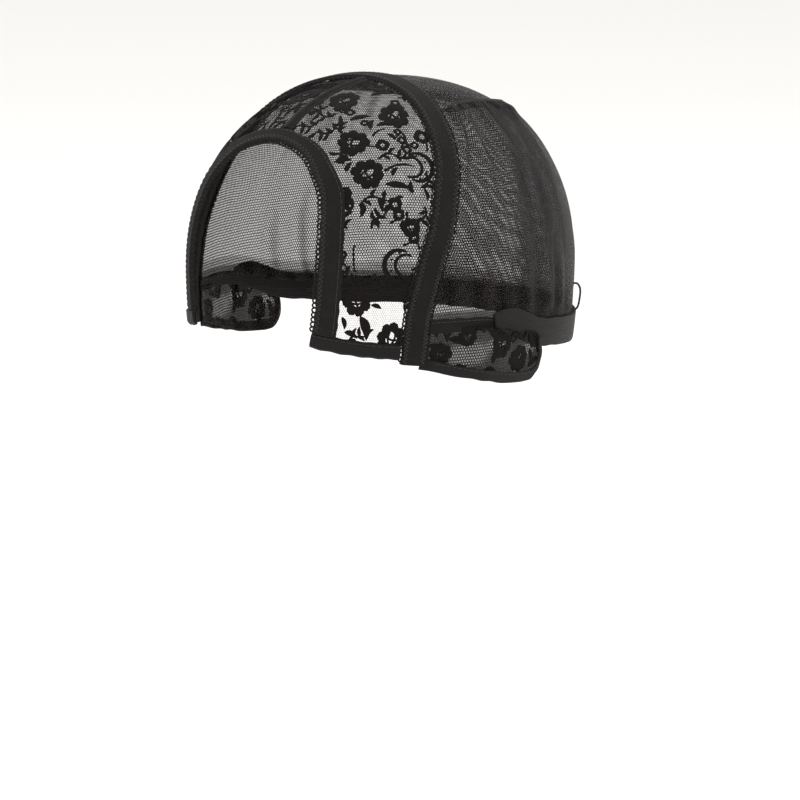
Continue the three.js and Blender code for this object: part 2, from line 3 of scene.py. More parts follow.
import bpy
import numpy as np
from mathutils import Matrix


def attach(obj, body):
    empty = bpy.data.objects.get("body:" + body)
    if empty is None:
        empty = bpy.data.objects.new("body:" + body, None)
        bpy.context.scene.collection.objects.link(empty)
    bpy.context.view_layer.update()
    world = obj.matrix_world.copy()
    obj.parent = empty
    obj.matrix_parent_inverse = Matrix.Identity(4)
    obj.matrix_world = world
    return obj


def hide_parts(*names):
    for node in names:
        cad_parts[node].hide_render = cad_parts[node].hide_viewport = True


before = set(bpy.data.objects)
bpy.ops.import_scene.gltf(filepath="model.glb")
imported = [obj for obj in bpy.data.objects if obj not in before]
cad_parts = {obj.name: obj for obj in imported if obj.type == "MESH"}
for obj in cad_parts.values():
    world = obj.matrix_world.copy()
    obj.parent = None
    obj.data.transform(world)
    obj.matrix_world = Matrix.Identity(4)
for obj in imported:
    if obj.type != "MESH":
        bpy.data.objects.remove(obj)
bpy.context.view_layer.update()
MM = 0.001
rng = np.random.default_rng(7)


# Front lace panels. A pair of warp-knitted nylon lace pieces, dyed black, that cover the front of
# the crown: an open ground of fine threads that carries roses, leaves, crescents and stems. They
# lie stretched and are sewn under the bands all round, so their cut edges don't show.
CAP_HALF_WIDTH = 80.0
CAP_HALF_LENGTH = 91.0
CROWN_HEIGHT = 85.3
NARROWING_DEPTH = 125.0
PLAN_POWER = 2.1
RISE_POWER = 2.27

LAP = 3.0
GAP = 0.3
OPENING_WIDTH = 76.0
OPENING_TOP_HEIGHT = 63.0
OPENING_END_DROP = 20.0
OPENING_BINDING_WIDTH = 10.5
OPENING_BINDING_TOP_WIDTH = 7.6
OPENING_ROWS = [
    # rise share, width share
    (0, 0.91),
    (0.12, 0.96),
    (0.37, 1),
    (0.55, 0.98),
    (0.76, 0.87),
    (0.87, 0.69),
    (0.93, 0.54),
    (0.975, 0.33),
]
HAIRLINE_BINDING_WIDTH = 7.0
HAIRLINE_END_ROLL = 112.0
EAR_BAND_WIDTH = 12.0
EAR_BAND_TOP_FORWARD = 11.5
EAR_BAND_END_FORWARD = 57.0
EAR_BAND_END_ROLL = 113.5
EAR_BAND_ROWS = [
    # roll share, forward share
    (-0.15, 0.105),
    (0, 0),
    (0.15, 0.105),
    (0.26, 0.23),
    (0.41, 0.43),
    (0.48, 0.56),
    (0.58, 0.71),
    (0.65, 0.82),
    (0.745, 0.91),
    (0.84, 0.97),
    (1, 1),
]

# The lace is drawn flat, in millimetres round the middle of the right panel, and laid on the crown
# from there. Its ground is a little coarser than the real one looks, so that it shows.
LACE_MIDDLE = (46.0, -52.0, 40.0)
LACE_RADIUS = 86.0
LACE_LIFT = 0.5
GROUND_CELL = (1.0, 0.97)
GROUND_THREAD = 0.064
GROUND_ZIGZAG = 0.18
GROUND_WANDER = 0.06
GROUND_OVERLAP = 0.04
MOTIF_THICKNESS = 0.36
LACE_ROWS = [
    # kind, right, up, size, height share, turn
    ("rose", -16.5, 53, 14.5, 1.27, 20),
    ("rose", 6.5, 42, 13.8, 1.25, 60),
    ("rose", -10.5, 24.5, 13.8, 1, 0),
    ("rose", -4, 9.5, 13.8, 1, 35),
    ("rose", -8.5, -43.8, 13.5, 1, 10),
    ("rose", 6.5, -60.5, 13.5, 1, 75),
    ("rose", -45, 67, 13, 1.2, 15),
    ("rose", -7, 77, 13.5, 1.1, 40),
    ("rose", -58, 84, 12.5, 1.2, 60),
    ("rose", 14, -12.6, 8.6, 1, 20),
    ("crescent", 16.8, 14.6, 14, 1, 190),
    ("crescent", 9.8, -29, 14, 1, 0),
    ("sprig", -23.5, 49.5, 12, 1.4, 177),
    ("sprig", -19, 42.5, 11.5, 1.3, 172),
    ("sprig", -26, 39, 10.5, 1.3, 196),
    ("sprig", -20.5, 79, 13, 1.2, -30),
    ("sprig", -30, 61, 12, 1.3, 165),
    ("sprig", -24, 88, 12, 1.2, 160),
    ("sprig", 3, 70, 11, 1.1, 12),
    ("sprig", 0, 88, 11, 1, -20),
    ("sprig", -38, 78, 11, 1.2, 100),
    ("sprig", -18.5, 33, 9, 1.2, 200),
    ("sprig", -11, 16, 6, 1, 160),
    ("sprig", 20, -3, 9, 1, -100),
    ("sprig", 20, 12, 8, 1, -80),
    ("sprig", -2, -14, 9, 1, 60),
    ("sprig", -12, -14, 9, 1, 95),
    ("sprig", 13, -49, 9, 1, 75),
    ("sprig", -13, -62, 9, 1, 30),
    ("sprig", 15, -32, 8, 1, -95),
    ("sprig", 0.4, 16.5, 12.5, 1, 16),
    ("sprig", -7.2, -5, 15.5, 1, 22),
    ("sprig", -40, 50, 10, 1, 205),
    ("sprig", -52, 78, 12, 1, 30),
    ("sprig", 8, 56, 10, 1, -10),
    ("sprig", -15.5, 30, 7, 1, 100),
    ("sprig", -14.5, -8, 8, 1, 80),
    ("stem", -2.5, 28, 7, 1, 42),
    ("stem", 2.8, 11, 13, 1, 16),
    ("stem", 8, 33, 10, 1, -68),
    ("stem", 12.5, -6, 8, 1, -110),
    ("stem", 16, -17.5, 5, 1, -62),
    ("stem", 15.5, -31, 5, 1, 20),
    ("stem", 1.5, -36.5, 5, 1, 30),
    ("sprig", -9.5, -36.5, 9, 1, 125),
    ("stem", 13.5, -42, 5, 1, 172),
    ("leaf", 3, 5, 11, 0.7, -8),
    ("leaf", -12.5, 37.5, 9.5, 0.8, 20),
    ("leaf", -17.3, 38.5, 6.5, 1, -82),
    ("leaf", -30, 69.5, 9.5, 1.2, 10),
    ("leaf", -23, 63, 7, 1.2, 40),
    ("leaf", -4.5, 58, 10, 0.9, 18),
    ("leaf", -3, 62, 9, 0.9, 10),
    ("leaf", -15.7, 18.5, 5.5, 1, -75),
    ("leaf", -13.8, 3.5, 6, 1, -60),
    ("leaf", -14, -1, 5.5, 1, -30),
    ("leaf", -6, -3, 6.5, 1, -98),
    ("leaf", 0.2, -1.5, 5.5, 1, -72),
    ("leaf", 9, -12.6, 5, 1, 5),
    ("leaf", -15.4, -50.5, 5.5, 1, -80),
    ("leaf", -7.5, -50.5, 11, 1, -76),
    ("leaf", -14.5, -57, 6.5, 1, -28),
    ("leaf", -2.6, -46, 5, 1, -20),
    ("leaf", 13, -66, 7, 1, -60),
    ("leaf", -1, 34, 6, 1, 20),
    ("leaf", 3.5, 30, 5, 1, -40),
    ("leaf", -13, 10, 5.5, 1, 60),
    ("leaf", 6, 9, 5, 1, 60),
    ("leaf", 15, 2, 6, 1, 100),
    ("leaf", -2, -9, 5.5, 1, -60),
    ("leaf", -8, 66, 8, 1, -30),
    ("leaf", -26, 55, 7, 1.3, -160),
    ("leaf", -3.5, 32, 6, 1, 80),
    ("bud", -12.8, 43, 4.8, 1, 0),
    ("bud", -6.3, 35.8, 3.8, 1, 200),
    ("bud", 6.8, 51.5, 4.6, 1.2, 60),
    ("bud", 1.8, 23.6, 6, 1, 20),
    ("bud", 8, 31.6, 3.8, 1, 90),
    ("bud", 9.8, 27.2, 4.2, 1, 100),
    ("bud", 12, 22.4, 4.4, 1, 80),
    ("bud", 15.3, 25.2, 4, 1, 10),
    ("bud", 18.6, 30.6, 7.6, 1, 120),
    ("bud", -12.2, 0.6, 4, 1, 0),
    ("bud", -11.4, -4.8, 4.2, 1, 10),
    ("bud", 7.4, -3.4, 6, 1, 40),
    ("bud", 9, -7.6, 5.2, 1, 60),
    ("bud", 15.8, -17, 5.4, 1, 50),
    ("bud", -0.8, -35, 4.4, 1, 10),
    ("bud", 2.6, -37.8, 3.8, 1, 10),
    ("bud", -14.2, -24.5, 3.8, 1, 100),
]
# Dark and light ends of the lace colour. The light end shows along raised thread rows as a painted sheen, and
# in random patches of uneven dye.
LACE_BLACK = "#0f0c0d"
LACE_GREY = "#262120"


def cap_value(p):
    """One on the inner side of the cap, less than one further in."""
    across = (np.abs(p[..., 0]) / CAP_HALF_WIDTH) ** PLAN_POWER
    along = (np.abs(p[..., 1]) / CAP_HALF_LENGTH) ** PLAN_POWER
    reach = np.where(p[..., 2] > 0, CROWN_HEIGHT, NARROWING_DEPTH)
    return (across + along) ** (RISE_POWER / PLAN_POWER) + (np.abs(p[..., 2]) / reach) ** RISE_POWER


def on_cap(p):
    return p * (cap_value(p) ** (-1 / RISE_POWER))[..., None]


def unit(v):
    return v / np.maximum(np.linalg.norm(v, axis=-1, keepdims=True), 1e-9)


def cap_normal(p):
    step = 0.01 * np.eye(3)
    return unit(np.stack([cap_value(p + d) - cap_value(p - d) for d in step], -1))


def smoothstep(x, low, high):
    x = np.clip((x - low) / (high - low), 0, 1)
    return x * x * (3 - 2 * x)


def read_table(rows, at):
    """Value at a place in a two-column table, smooth from row to row."""
    x, y = np.array(rows, float).T
    at = np.clip(at, x[0], x[-1])
    k = np.clip(np.searchsorted(x, at, side="right") - 1, 0, len(x) - 2)
    low = np.maximum(np.arange(len(x)) - 1, 0)
    high = np.minimum(np.arange(len(x)) + 1, len(x) - 1)
    slope = (y[high] - y[low]) / (x[high] - x[low])
    span = x[k + 1] - x[k]
    u = (at - x[k]) / span
    start = (2 * u**3 - 3 * u**2 + 1) * y[k] + (u**3 - 2 * u**2 + u) * span * slope[k]
    return start + (3 * u**2 - 2 * u**3) * y[k + 1] + (u**3 - u**2) * span * slope[k + 1]


def face_point(across, height):
    """Point of the front of the cap at a place across and a height over the widest level."""
    reach = np.where(height > 0, CROWN_HEIGHT, NARROWING_DEPTH)
    share = (1 - (np.abs(height) / reach) ** RISE_POWER) ** (1 / RISE_POWER)
    rest = share**PLAN_POWER - (np.abs(across) / CAP_HALF_WIDTH) ** PLAN_POWER
    return np.stack([across, -CAP_HALF_LENGTH * rest ** (1 / PLAN_POWER), height], -1)


def over_point(roll, forward):
    """Point of the cap at a roll from straight up and a distance forward of its middle."""
    roll, forward = np.broadcast_arrays(np.radians(roll), forward)
    low = np.zeros(roll.shape)
    high = np.full(roll.shape, 2 * CAP_HALF_LENGTH)
    for _ in range(40):
        middle = (low + high) / 2
        p = np.stack([middle * np.sin(roll), -forward, middle * np.cos(roll)], -1)
        inside = cap_value(p) < 1
        low, high = np.where(inside, middle, low), np.where(inside, high, middle)
    return np.stack([low * np.sin(roll), -forward, low * np.cos(roll)], -1)


def smooth_line(points, place=on_cap):
    """Smooth curve through points, read by its share of length."""
    points = np.asarray(points, float)
    knots = np.concatenate([[2 * points[0] - points[1]], points, [2 * points[-1] - points[-2]]])

    def at(share):
        k = np.clip((share * (len(points) - 1)).astype(int), 0, len(points) - 2)
        w = (share * (len(points) - 1) - k)[..., None]
        p = [knots[k + i] for i in range(4)]
        d = [np.sqrt(np.linalg.norm(p[i + 1] - p[i], axis=-1, keepdims=True)) for i in range(3)]
        a = ((p[1] - p[0]) / d[0] - (p[2] - p[0]) / (d[0] + d[1]) + (p[2] - p[1]) / d[1]) * d[1]
        b = ((p[2] - p[1]) / d[1] - (p[3] - p[1]) / (d[1] + d[2]) + (p[3] - p[2]) / d[2]) * d[1]
        curve = p[1] + a * w + (-3 * p[1] + 3 * p[2] - 2 * a - b) * w**2
        return curve + (2 * p[1] - 2 * p[2] + a + b) * w**3

    shares = np.linspace(0, 1, 401)
    lengths = np.cumsum(np.linalg.norm(np.diff(at(shares), axis=0), axis=1))
    lengths = np.concatenate([[0], lengths]) / lengths[-1]
    return lambda u: place(at(np.interp(u, lengths, shares)))


def straight_line(start, end):
    return lambda u: on_cap(start + (end - start) * np.asarray(u, float)[..., None])


def section(line, start, end):
    return lambda u: line(start + (end - start) * np.asarray(u, float))


def beside(line, distance):
    """A line beside another one on the cap, to the left of its direction seen from outside."""

    def at(u):
        u = np.asarray(u, float)
        p = line(u)
        tangent = line(np.minimum(u + 0.004, 1)) - line(np.maximum(u - 0.004, 0))
        width = np.asarray(distance(u) if callable(distance) else distance, float)
        return on_cap(p + unit(np.cross(cap_normal(p), tangent)) * width[..., None])

    return at


def point_at(line, u):
    return line(np.array([float(u)]))[0]


def length_of(line):
    return np.linalg.norm(np.diff(line(np.linspace(0, 1, 201)), axis=0), axis=1).sum()


def patch(first, last, start, end):
    """A patch inside four lines: the first two run with s, the start and end lines with t."""
    ends = [line(np.array([0.0, 1.0])) for line in (first, last)]

    def at(s, t):
        s1, t1 = s[..., None], t[..., None]
        p = first(s) * (1 - t1) + last(s) * t1 + start(t) * (1 - s1) + end(t) * s1
        p = p - ends[0][0] * (1 - s1) * (1 - t1) - ends[0][1] * s1 * (1 - t1)
        return on_cap(p - ends[1][0] * (1 - s1) * t1 - ends[1][1] * s1 * t1)

    return at


def opening_edge():
    """Inner edge of the U-shaped opening, from its lower right end over its top."""
    rise = OPENING_TOP_HEIGHT + OPENING_END_DROP
    up, wide = np.array(OPENING_ROWS, float).T
    right = face_point(wide * OPENING_WIDTH / 2, up * rise - OPENING_END_DROP)
    top = face_point(np.array([0.0]), np.array([OPENING_TOP_HEIGHT]))
    return smooth_line(np.concatenate([right, top, (right * [-1, 1, 1])[::-1]]))


def opening_binding_width(u):
    ease = smoothstep(1 - 2 * np.abs(u - 0.5), 0.55, 0.95)
    return OPENING_BINDING_WIDTH + (OPENING_BINDING_TOP_WIDTH - OPENING_BINDING_WIDTH) * ease


def ear_band_front(roll):
    share = read_table(EAR_BAND_ROWS, np.abs(roll) / EAR_BAND_END_ROLL)
    forward = EAR_BAND_TOP_FORWARD + share * (EAR_BAND_END_FORWARD - EAR_BAND_TOP_FORWARD)
    return over_point(roll, forward)


def ear_band_line(from_roll, to_roll, behind):
    side = behind if to_roll > from_roll else -behind
    return beside(lambda u: ear_band_front(from_roll + (to_roll - from_roll) * u), side)


def hairline_edge():
    return straight_line(point_at(opening_edge(), 0), point_at(ear_band_front, HAIRLINE_END_ROLL))


def lace_front_patch():
    edge = opening_edge()
    length = length_of(edge)
    opening_side = section(
        beside(edge, lambda u: LAP - opening_binding_width(u)),
        0.5 - GAP / length,
        (HAIRLINE_BINDING_WIDTH - LAP) / length,
    )
    reach = length_of(ear_band_line(0, HAIRLINE_END_ROLL, LAP))
    start_roll = math.degrees(GAP / CROWN_HEIGHT)
    end_roll = HAIRLINE_END_ROLL * (1 - (HAIRLINE_BINDING_WIDTH - LAP) / reach)
    band_side = ear_band_line(start_roll, end_roll, LAP)
    ends = [[point_at(line, u) for line in (opening_side, band_side)] for u in (0, 1)]
    return [opening_side, band_side, straight_line(*ends[0]), straight_line(*ends[1])]


def outline_of(first, last, start, end):
    """Closed line of points round a patch."""
    u = np.linspace(0, 1, 60)[:-1]
    return np.concatenate([first(u), end(u), last(1 - u), start(1 - u)])


def flat_axes(middle):
    away = unit(np.array(middle, float))
    right = unit(np.cross([0.0, 0.0, 1.0], away))
    return away, right, np.cross(away, right)


def to_flat(p, middle):
    """Flat place of points of the cap, round a middle, with distances from it kept."""
    away, right, up = flat_axes(middle)
    d = unit(p)
    x, y = d @ right, d @ up
    reach = LACE_RADIUS * np.arccos(np.clip(d @ away, -1, 1)) / np.maximum(np.hypot(x, y), 1e-9)
    return np.stack([x * reach, y * reach], -1)


def from_flat(q, middle):
    away, right, up = flat_axes(middle)
    reach = np.maximum(np.hypot(q[..., 0], q[..., 1]), 1e-9)
    turn = (reach / LACE_RADIUS)[..., None]
    aside = (q[..., :1] * right + q[..., 1:] * up) / reach[..., None]
    return on_cap(CAP_HALF_WIDTH * (np.cos(turn) * away + np.sin(turn) * aside))


def inside(q, outline):
    """Which flat points lie inside a closed outline."""
    found = np.zeros(len(q), bool)
    for a, b in zip(outline, np.roll(outline, -1, axis=0)):
        crosses = (a[1] > q[:, 1]) != (b[1] > q[:, 1])
        height = b[1] - a[1] if b[1] != a[1] else 1e-9
        found ^= crosses & (q[:, 0] < (b[0] - a[0]) * (q[:, 1] - a[1]) / height + a[0])
    return found


def pulled_in(q, outline):
    """Flat points with those outside the outline moved to the nearest place on it."""
    q = q.copy()
    out = ~inside(q, outline)
    if not out.any():
        return q
    far = q[out]
    best = np.full(len(far), 1e9)
    nearest = far.copy()
    for a, b in zip(outline, np.roll(outline, -1, axis=0)):
        along = np.clip(((far - a) @ (b - a)) / max((b - a) @ (b - a), 1e-9), 0, 1)
        place = a + along[:, None] * (b - a)
        distance = np.linalg.norm(far - place, axis=1)
        closer = distance < best
        best[closer] = distance[closer]
        nearest[closer] = place[closer]
    q[out] = nearest
    return q


# A part of a piece is its points, their pattern places in millimetres, and its quads and tris.
def join(parts):
    points, weave, quads, tris, count = [], [], [], [], 0
    for part in parts:
        points.append(part[0])
        weave.append(part[1])
        quads.append(part[2] + count)
        tris.append(part[3] + count)
        count += len(part[0])
    return tuple(np.concatenate(x) for x in (points, weave, quads, tris))


def facing_out(part):
    points, weave, quads, tris = part
    faces = np.concatenate([tris, quads[:, [0, 1, 2]], quads[:, [0, 2, 3]]])
    a, b, c = (points[faces[:, i]] for i in range(3))
    if (a * np.cross(b, c)).sum() < 0:
        quads, tris = quads[:, ::-1], tris[:, ::-1]
    return points, weave, quads, tris


def mirrored(part):
    points, weave, quads, tris = part
    return points * [-1, 1, 1], weave * [-1, 1, 1], quads[:, ::-1], tris[:, ::-1]


def on_left(parts):
    return [(mirrored(part), material) for part, material in parts]


def ground_threads(outline, middle, lift, cell, thread):
    """Net ground: three-sided threads along zigzag rows and the short uprights between them."""
    step, rise = cell[0] / 2, cell[1]
    low, high = outline.min(0), outline.max(0)
    columns = np.arange(int(low[0] / step) - 1, int(high[0] / step) + 2)
    rows = np.arange(int(low[1] / rise) - 1, int(high[1] / rise) + 2)
    i, j = (grid.ravel() for grid in np.meshgrid(columns, rows, indexing="ij"))
    peak = (i + j) % 2 == 0
    node = np.stack([i * step, j * rise + np.where(peak, GROUND_ZIGZAG, -GROUND_ZIGZAG) * rise], -1)
    node += GROUND_WANDER * rng.standard_normal(node.shape)
    number = np.arange(len(node)).reshape(len(columns), len(rows))
    sideways = np.stack([number[:-1].ravel(), number[1:].ravel()], -1)
    uprights = np.stack([number[:, :-1].ravel(), number[:, 1:].ravel()], -1)
    edges = np.concatenate([sideways, uprights[peak[uprights[:, 0]]]])
    held = inside(node, outline)
    edges = edges[held[edges].all(1)]
    start, end = (from_flat(node[edges[:, k]], middle) for k in (0, 1))
    normal = cap_normal(start)
    along = unit(end - start)
    side = np.cross(normal, along)
    start = start - GROUND_OVERLAP * along + lift * normal
    end = end + GROUND_OVERLAP * along + lift * normal
    rings = []
    for turn in (90, 210, 330):
        out = math.cos(math.radians(turn)) * side + math.sin(math.radians(turn)) * normal
        rings += [start + thread * out, end + thread * out]
    points = np.stack(rings, 1).reshape(-1, 3)
    base = 6 * np.arange(len(edges))[:, None]
    quads = np.concatenate([base + [0, 2, 3, 1], base + [2, 4, 5, 3], base + [4, 0, 1, 5]])
    tris = np.concatenate([base + [0, 4, 2], base + [1, 3, 5]])
    flat = np.repeat(node[edges].mean(1), 6, axis=0)
    weave = np.concatenate([flat, np.zeros((len(flat), 1))], 1)
    return points, weave, quads, tris


def turned(turn):
    """Matrix that turns flat points."""
    return np.array([[math.cos(turn), math.sin(turn)], [-math.sin(turn), math.cos(turn)]])


def ribbon(left, right, thickness, closed=False):
    """Flat lace work between two edge lines: its flat points, heights, quads and tris."""
    shares = np.array([0, 0.14, 0.86, 1, 0.86, 0.14])
    heights = np.array([0, 1, 1, 0, -1, -1]) * thickness / 2
    flat = left[:, None] + (right - left)[:, None] * shares[:, None]
    count = len(left)
    flat, height = flat.reshape(-1, 2), np.tile(heights, count)
    rings = np.arange(count if closed else count - 1)
    quads = []
    for k in range(6):
        a, b = rings * 6 + k, rings * 6 + (k + 1) % 6
        c, d = (b + 6) % (6 * count), (a + 6) % (6 * count)
        quads.append(np.stack([a, b, c, d], -1))
    tris = np.zeros((0, 3), int)
    if not closed:
        last = 6 * (count - 1)
        quads.append(np.array([[1, 5, 4, 2], [last + 1, last + 2, last + 4, last + 5]]))
        tris = np.array([[0, 5, 1], [2, 4, 3], [last, last + 1, last + 5], [last + 2, last + 3, last + 4]])
    return flat, height, np.concatenate(quads), tris


def strip(path, width):
    """Ribbon along a flat path, with a width for each of its points."""
    along = unit(np.gradient(path, axis=0))
    aside = np.stack([-along[:, 1], along[:, 0]], -1) * np.asarray(width)[:, None] / 2
    return ribbon(path + aside, path - aside, MOTIF_THICKNESS)


def rose(size):
    """A ring of eight ragged petals, with bars of thread that leave small slits at its heart."""
    turn = np.linspace(0, 2 * np.pi, 96, endpoint=False)
    around = np.stack([np.cos(turn), np.sin(turn)], -1)
    petals = 0.83 + 0.17 * np.abs(np.cos(4 * turn)) ** 0.7
    outer = size / 2 * (petals + 0.05 * np.sin(3 * turn + 1) + 0.02 * np.sin(24 * turn))
    inner = size / 2 * (0.36 + 0.05 * np.sin(3 * turn + 0.6))
    parts = [ribbon(around * outer[:, None], around * inner[:, None], MOTIF_THICKNESS, True)]
    u = np.linspace(-1, 1, 9)
    for low, bow, tilt in ((0.14, 0.08, 0.1), (-0.13, -0.1, -0.15), (0.0, 0.1, 1.5)):
        across = np.stack([0.4 * u, low + bow * (1 - u**2)], -1) * size / 2
        parts.append(strip(across @ turned(tilt), np.full(9, 0.075 * size)))
    return parts


def leaf(size):
    u = np.linspace(0, 1, 12)
    path = np.stack([u * size, 0.12 * size * np.sin(np.pi * u)], -1)
    width = 0.12 + 0.38 * size * np.sin(np.pi * u**0.85) ** 0.9
    return [strip(path, width)]


def bud(size):
    turn = np.linspace(0, 2 * np.pi, 20, endpoint=False)
    around = np.stack([np.cos(turn), np.sin(turn)], -1) * size / 2
    ring = ribbon(around * (1 + 0.08 * np.cos(4 * turn))[:, None], around * 0.34, MOTIF_THICKNESS, True)
    u = np.linspace(0, 1, 6)
    stalk = np.stack([-size * (0.4 + 0.6 * u), 0.25 * size * u**2], -1)
    return [ring, strip(stalk, np.full(6, 1.0))]


def crescent(size):
    u = np.linspace(-1, 1, 26)
    turn = np.pi + 2.1 * u
    around = np.stack([np.cos(turn), np.sin(turn)], -1) * size
    outer, inner = around * 0.47, around * 0.34 + [0.21 * size, 0]
    swell = 1 - u**2
    parts = [strip(outer, 0.9 + 0.09 * size * swell), strip(inner, 0.9 + 0.04 * size * swell)]
    for place in (-0.6, -0.2, 0.2, 0.6):
        angle = np.pi + 2.1 * place
        centre = np.array([math.cos(angle), math.sin(angle)]) * 0.4 * size + [0.11 * size, 0]
        step = np.linspace(-0.6, 0.6, 4)[:, None] * [0.7, 0.5]
        parts.append(strip(centre + step, np.array([0.5, 1.0, 1.0, 0.5])))
    return parts


def stem(size):
    u = np.linspace(0, 1, 12)
    path = np.stack([u * size, 0.14 * size * np.sin(np.pi * u)], -1)
    return [strip(path, 1.3 - 0.6 * u)]


def sprig(size):
    u = np.linspace(0, 1, 14)
    path = np.stack([u * size, 0.16 * size * np.sin(1.6 * np.pi * u)], -1)
    parts = [strip(path, 1.1 - 0.3 * u)]
    for n, place in enumerate((0.22, 0.4, 0.58, 0.76, 0.97)):
        root = path[int(place * 13)]
        turn = (0.9 if n % 2 else -0.9) + 0.3 * math.sin(5 * n) if n < 4 else 0.1
        for part in leaf(3.9 + 0.2 * n):
            parts.append((part[0] @ turned(turn) + root, *part[1:]))
    return parts


MOTIFS = {"rose": rose, "leaf": leaf, "bud": bud, "crescent": crescent, "stem": stem, "sprig": sprig}


def lace_work(rows, outline, middle, lift):
    """The motifs of a lace panel, laid on the cap and kept inside the panel."""
    made = []
    for kind, right, up, size, tall, degrees in rows:
        spin = turned(math.radians(degrees))
        for flat, height, quads, tris in MOTIFS[kind](size):
            place = flat @ spin * [1, tall] + [right, up]
            held = inside(place, outline)
            if not held.any():
                continue
            if not held.all():
                place = pulled_in(place, outline)
            base = from_flat(place, middle)
            points = base + cap_normal(base) * (lift(base) + height)[:, None]
            weave = np.concatenate([place, height[:, None]], 1)
            made.append((points, weave, quads, tris))
    return join(made)


def colour(hex_code):
    """Linear colour of an sRGB hex value."""
    parts = [int(hex_code[i : i + 2], 16) / 255 for i in (1, 3, 5)]
    linear = [c / 12.92 if c <= 0.04045 else ((c + 0.055) / 1.055) ** 2.4 for c in parts]
    return (*linear, 1.0)


def add(material, kind, settings=(), links=()):
    """Adds a node to a material, with its settings and links."""
    made = material.node_tree.nodes.new(kind)
    for name, value in dict(settings).items():
        if isinstance(name, str) and hasattr(made, name):
            setattr(made, name, value)
        else:
            made.inputs[name].default_value = value
    for name, source in dict(links).items():
        material.node_tree.links.new(source, made.inputs[name])
    return made


def new_material(name):
    material = bpy.data.materials.new(name)
    material.use_nodes = True
    material.node_tree.nodes.clear()
    return material


def make_piece(name, parts, slot, *nodes):
    """One piece from parts that each have a material, riding with the cap in place of CAD nodes."""
    points, weave, quads, tris = join([part for part, _ in parts])
    mesh = bpy.data.meshes.new(name)
    places = ((points - [0, 0, CROWN_HEIGHT]) * MM).tolist()
    mesh.from_pydata(places, [], quads.tolist() + tris.tolist())
    pattern = mesh.attributes.new("weave", "FLOAT_VECTOR", "POINT")
    pattern.data.foreach_set("vector", weave.astype(np.float32).ravel())
    mesh.polygons.foreach_set("use_smooth", [True] * len(mesh.polygons))
    used = []
    for _, material in parts:
        if material not in used:
            used.append(material)
            mesh.materials.append(material)
    chosen = [[used.index(m)] * len(part[kind]) for kind in (2, 3) for part, m in parts]
    mesh.polygons.foreach_set("material_index", [k for group in chosen for k in group])
    piece = bpy.data.objects.new(name, mesh)
    bpy.context.collection.objects.link(piece)
    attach(piece, "root")
    if nodes:
        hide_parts(*nodes)
    return piece


# Warp-knitted nylon lace, dyed black. Its threads are dull with a faint nylon sheen, and the worked motifs
# show rows of knitted thread 0.5 mm apart. Its colour is lighter along the raised middle of each row, a
# painted sheen, and the dye is uneven in random patches.
lace_nylon = new_material("warp-knitted nylon lace")
place = add(lace_nylon, "ShaderNodeAttribute", {"attribute_name": "weave"})
rows = add(
    lace_nylon,
    "ShaderNodeTexWave",
    {"bands_direction": "Y", "Scale": 0.62, "Distortion": 1.2, "Detail": 2.0, "Detail Scale": 1.5},
    {"Vector": place.outputs["Vector"]},
)
patches = add(
    lace_nylon,
    "ShaderNodeTexNoise",
    {"Scale": 0.35, "Detail": 3.0},
    {"Vector": place.outputs["Vector"]},
)
# Painted sheen: lighter along the raised middle of each row of thread, times random patches of uneven dye.
row_sheen_and_dye = add(
    lace_nylon,
    "ShaderNodeMath",
    {"operation": "MULTIPLY"},
    {0: rows.outputs["Fac"], 1: patches.outputs["Fac"]},
)
tone = add(
    lace_nylon,
    "ShaderNodeMix",
    {"data_type": "RGBA", 6: colour(LACE_BLACK), 7: colour(LACE_GREY)},
    {0: row_sheen_and_dye.outputs[0]},
)
relief = add(
    lace_nylon,
    "ShaderNodeBump",
    {"Strength": 0.5, "Distance": 0.0002},
    {"Height": rows.outputs["Fac"]},
)
shader = add(
    lace_nylon,
    "ShaderNodeBsdfPrincipled",
    {"Roughness": 0.78, "Specular IOR Level": 0.04, "Sheen Weight": 0.02, "Sheen Roughness": 0.5},
    {"Base Color": tone.outputs[2], "Normal": relief.outputs[0]},
)
add(lace_nylon, "ShaderNodeOutputMaterial", {}, {"Surface": shader.outputs[0]})

lace_sides = lace_front_patch()
lace_outline = to_flat(outline_of(*lace_sides), LACE_MIDDLE)
lace_part = join(
    [
        ground_threads(lace_outline, LACE_MIDDLE, LACE_LIFT - 0.1, GROUND_CELL, GROUND_THREAD),
        lace_work(LACE_ROWS, lace_outline, LACE_MIDDLE, lambda p: np.full(len(p), LACE_LIFT)),
    ]
)
lace_right = make_piece("lace_panel_right", [(lace_part, lace_nylon)], "lace", "lace_front_right")
lace_left = make_piece("lace_panel_left", [(mirrored(lace_part), lace_nylon)], "lace", "lace_front_left")


# Centre seam tape. A narrow woven tape that covers the seam between the two lace panels, from the
# top of the opening back to the ear-to-ear band. It is stitched down along its middle, and the
# turned-in edges of the panels make a wider, darker strip under it.
SEAM_TAPE_WIDTH = 3.4
SEAM_TAPE_LIFT = 1.7
SEAM_TAPE_THICKNESS = 0.9
SEAM_TURNING_WIDTH = 6.4
SEAM_TURNING_LIFT = 1.05
SEAM_TURNING_THICKNESS = 0.4
SEAM_SPAN_ROLL = 27.0
BAND_LIFT = 1.9
BAND_THICKNESS = 1.1
TAPE_SWAY = 0.18
TAPE_PUCKER = 0.1
PRESSED_MARGIN = 1.5
TAPE_PLACES = np.array([0, 0.012, 0.035, 0.07, 0.12, 0.2, 0.3, 0.42, 0.5])
TAPE_PLACES = np.concatenate([TAPE_PLACES, 1 - TAPE_PLACES[-2::-1]])
# Dark and light ends of the elastics' colour. The light end shows on rib and lint crests as a painted
# highlight, and in random patches of tone.
BAND_BLACK = "#121010"
BAND_GREY = "#262220"
STITCH_THREAD = 0.2


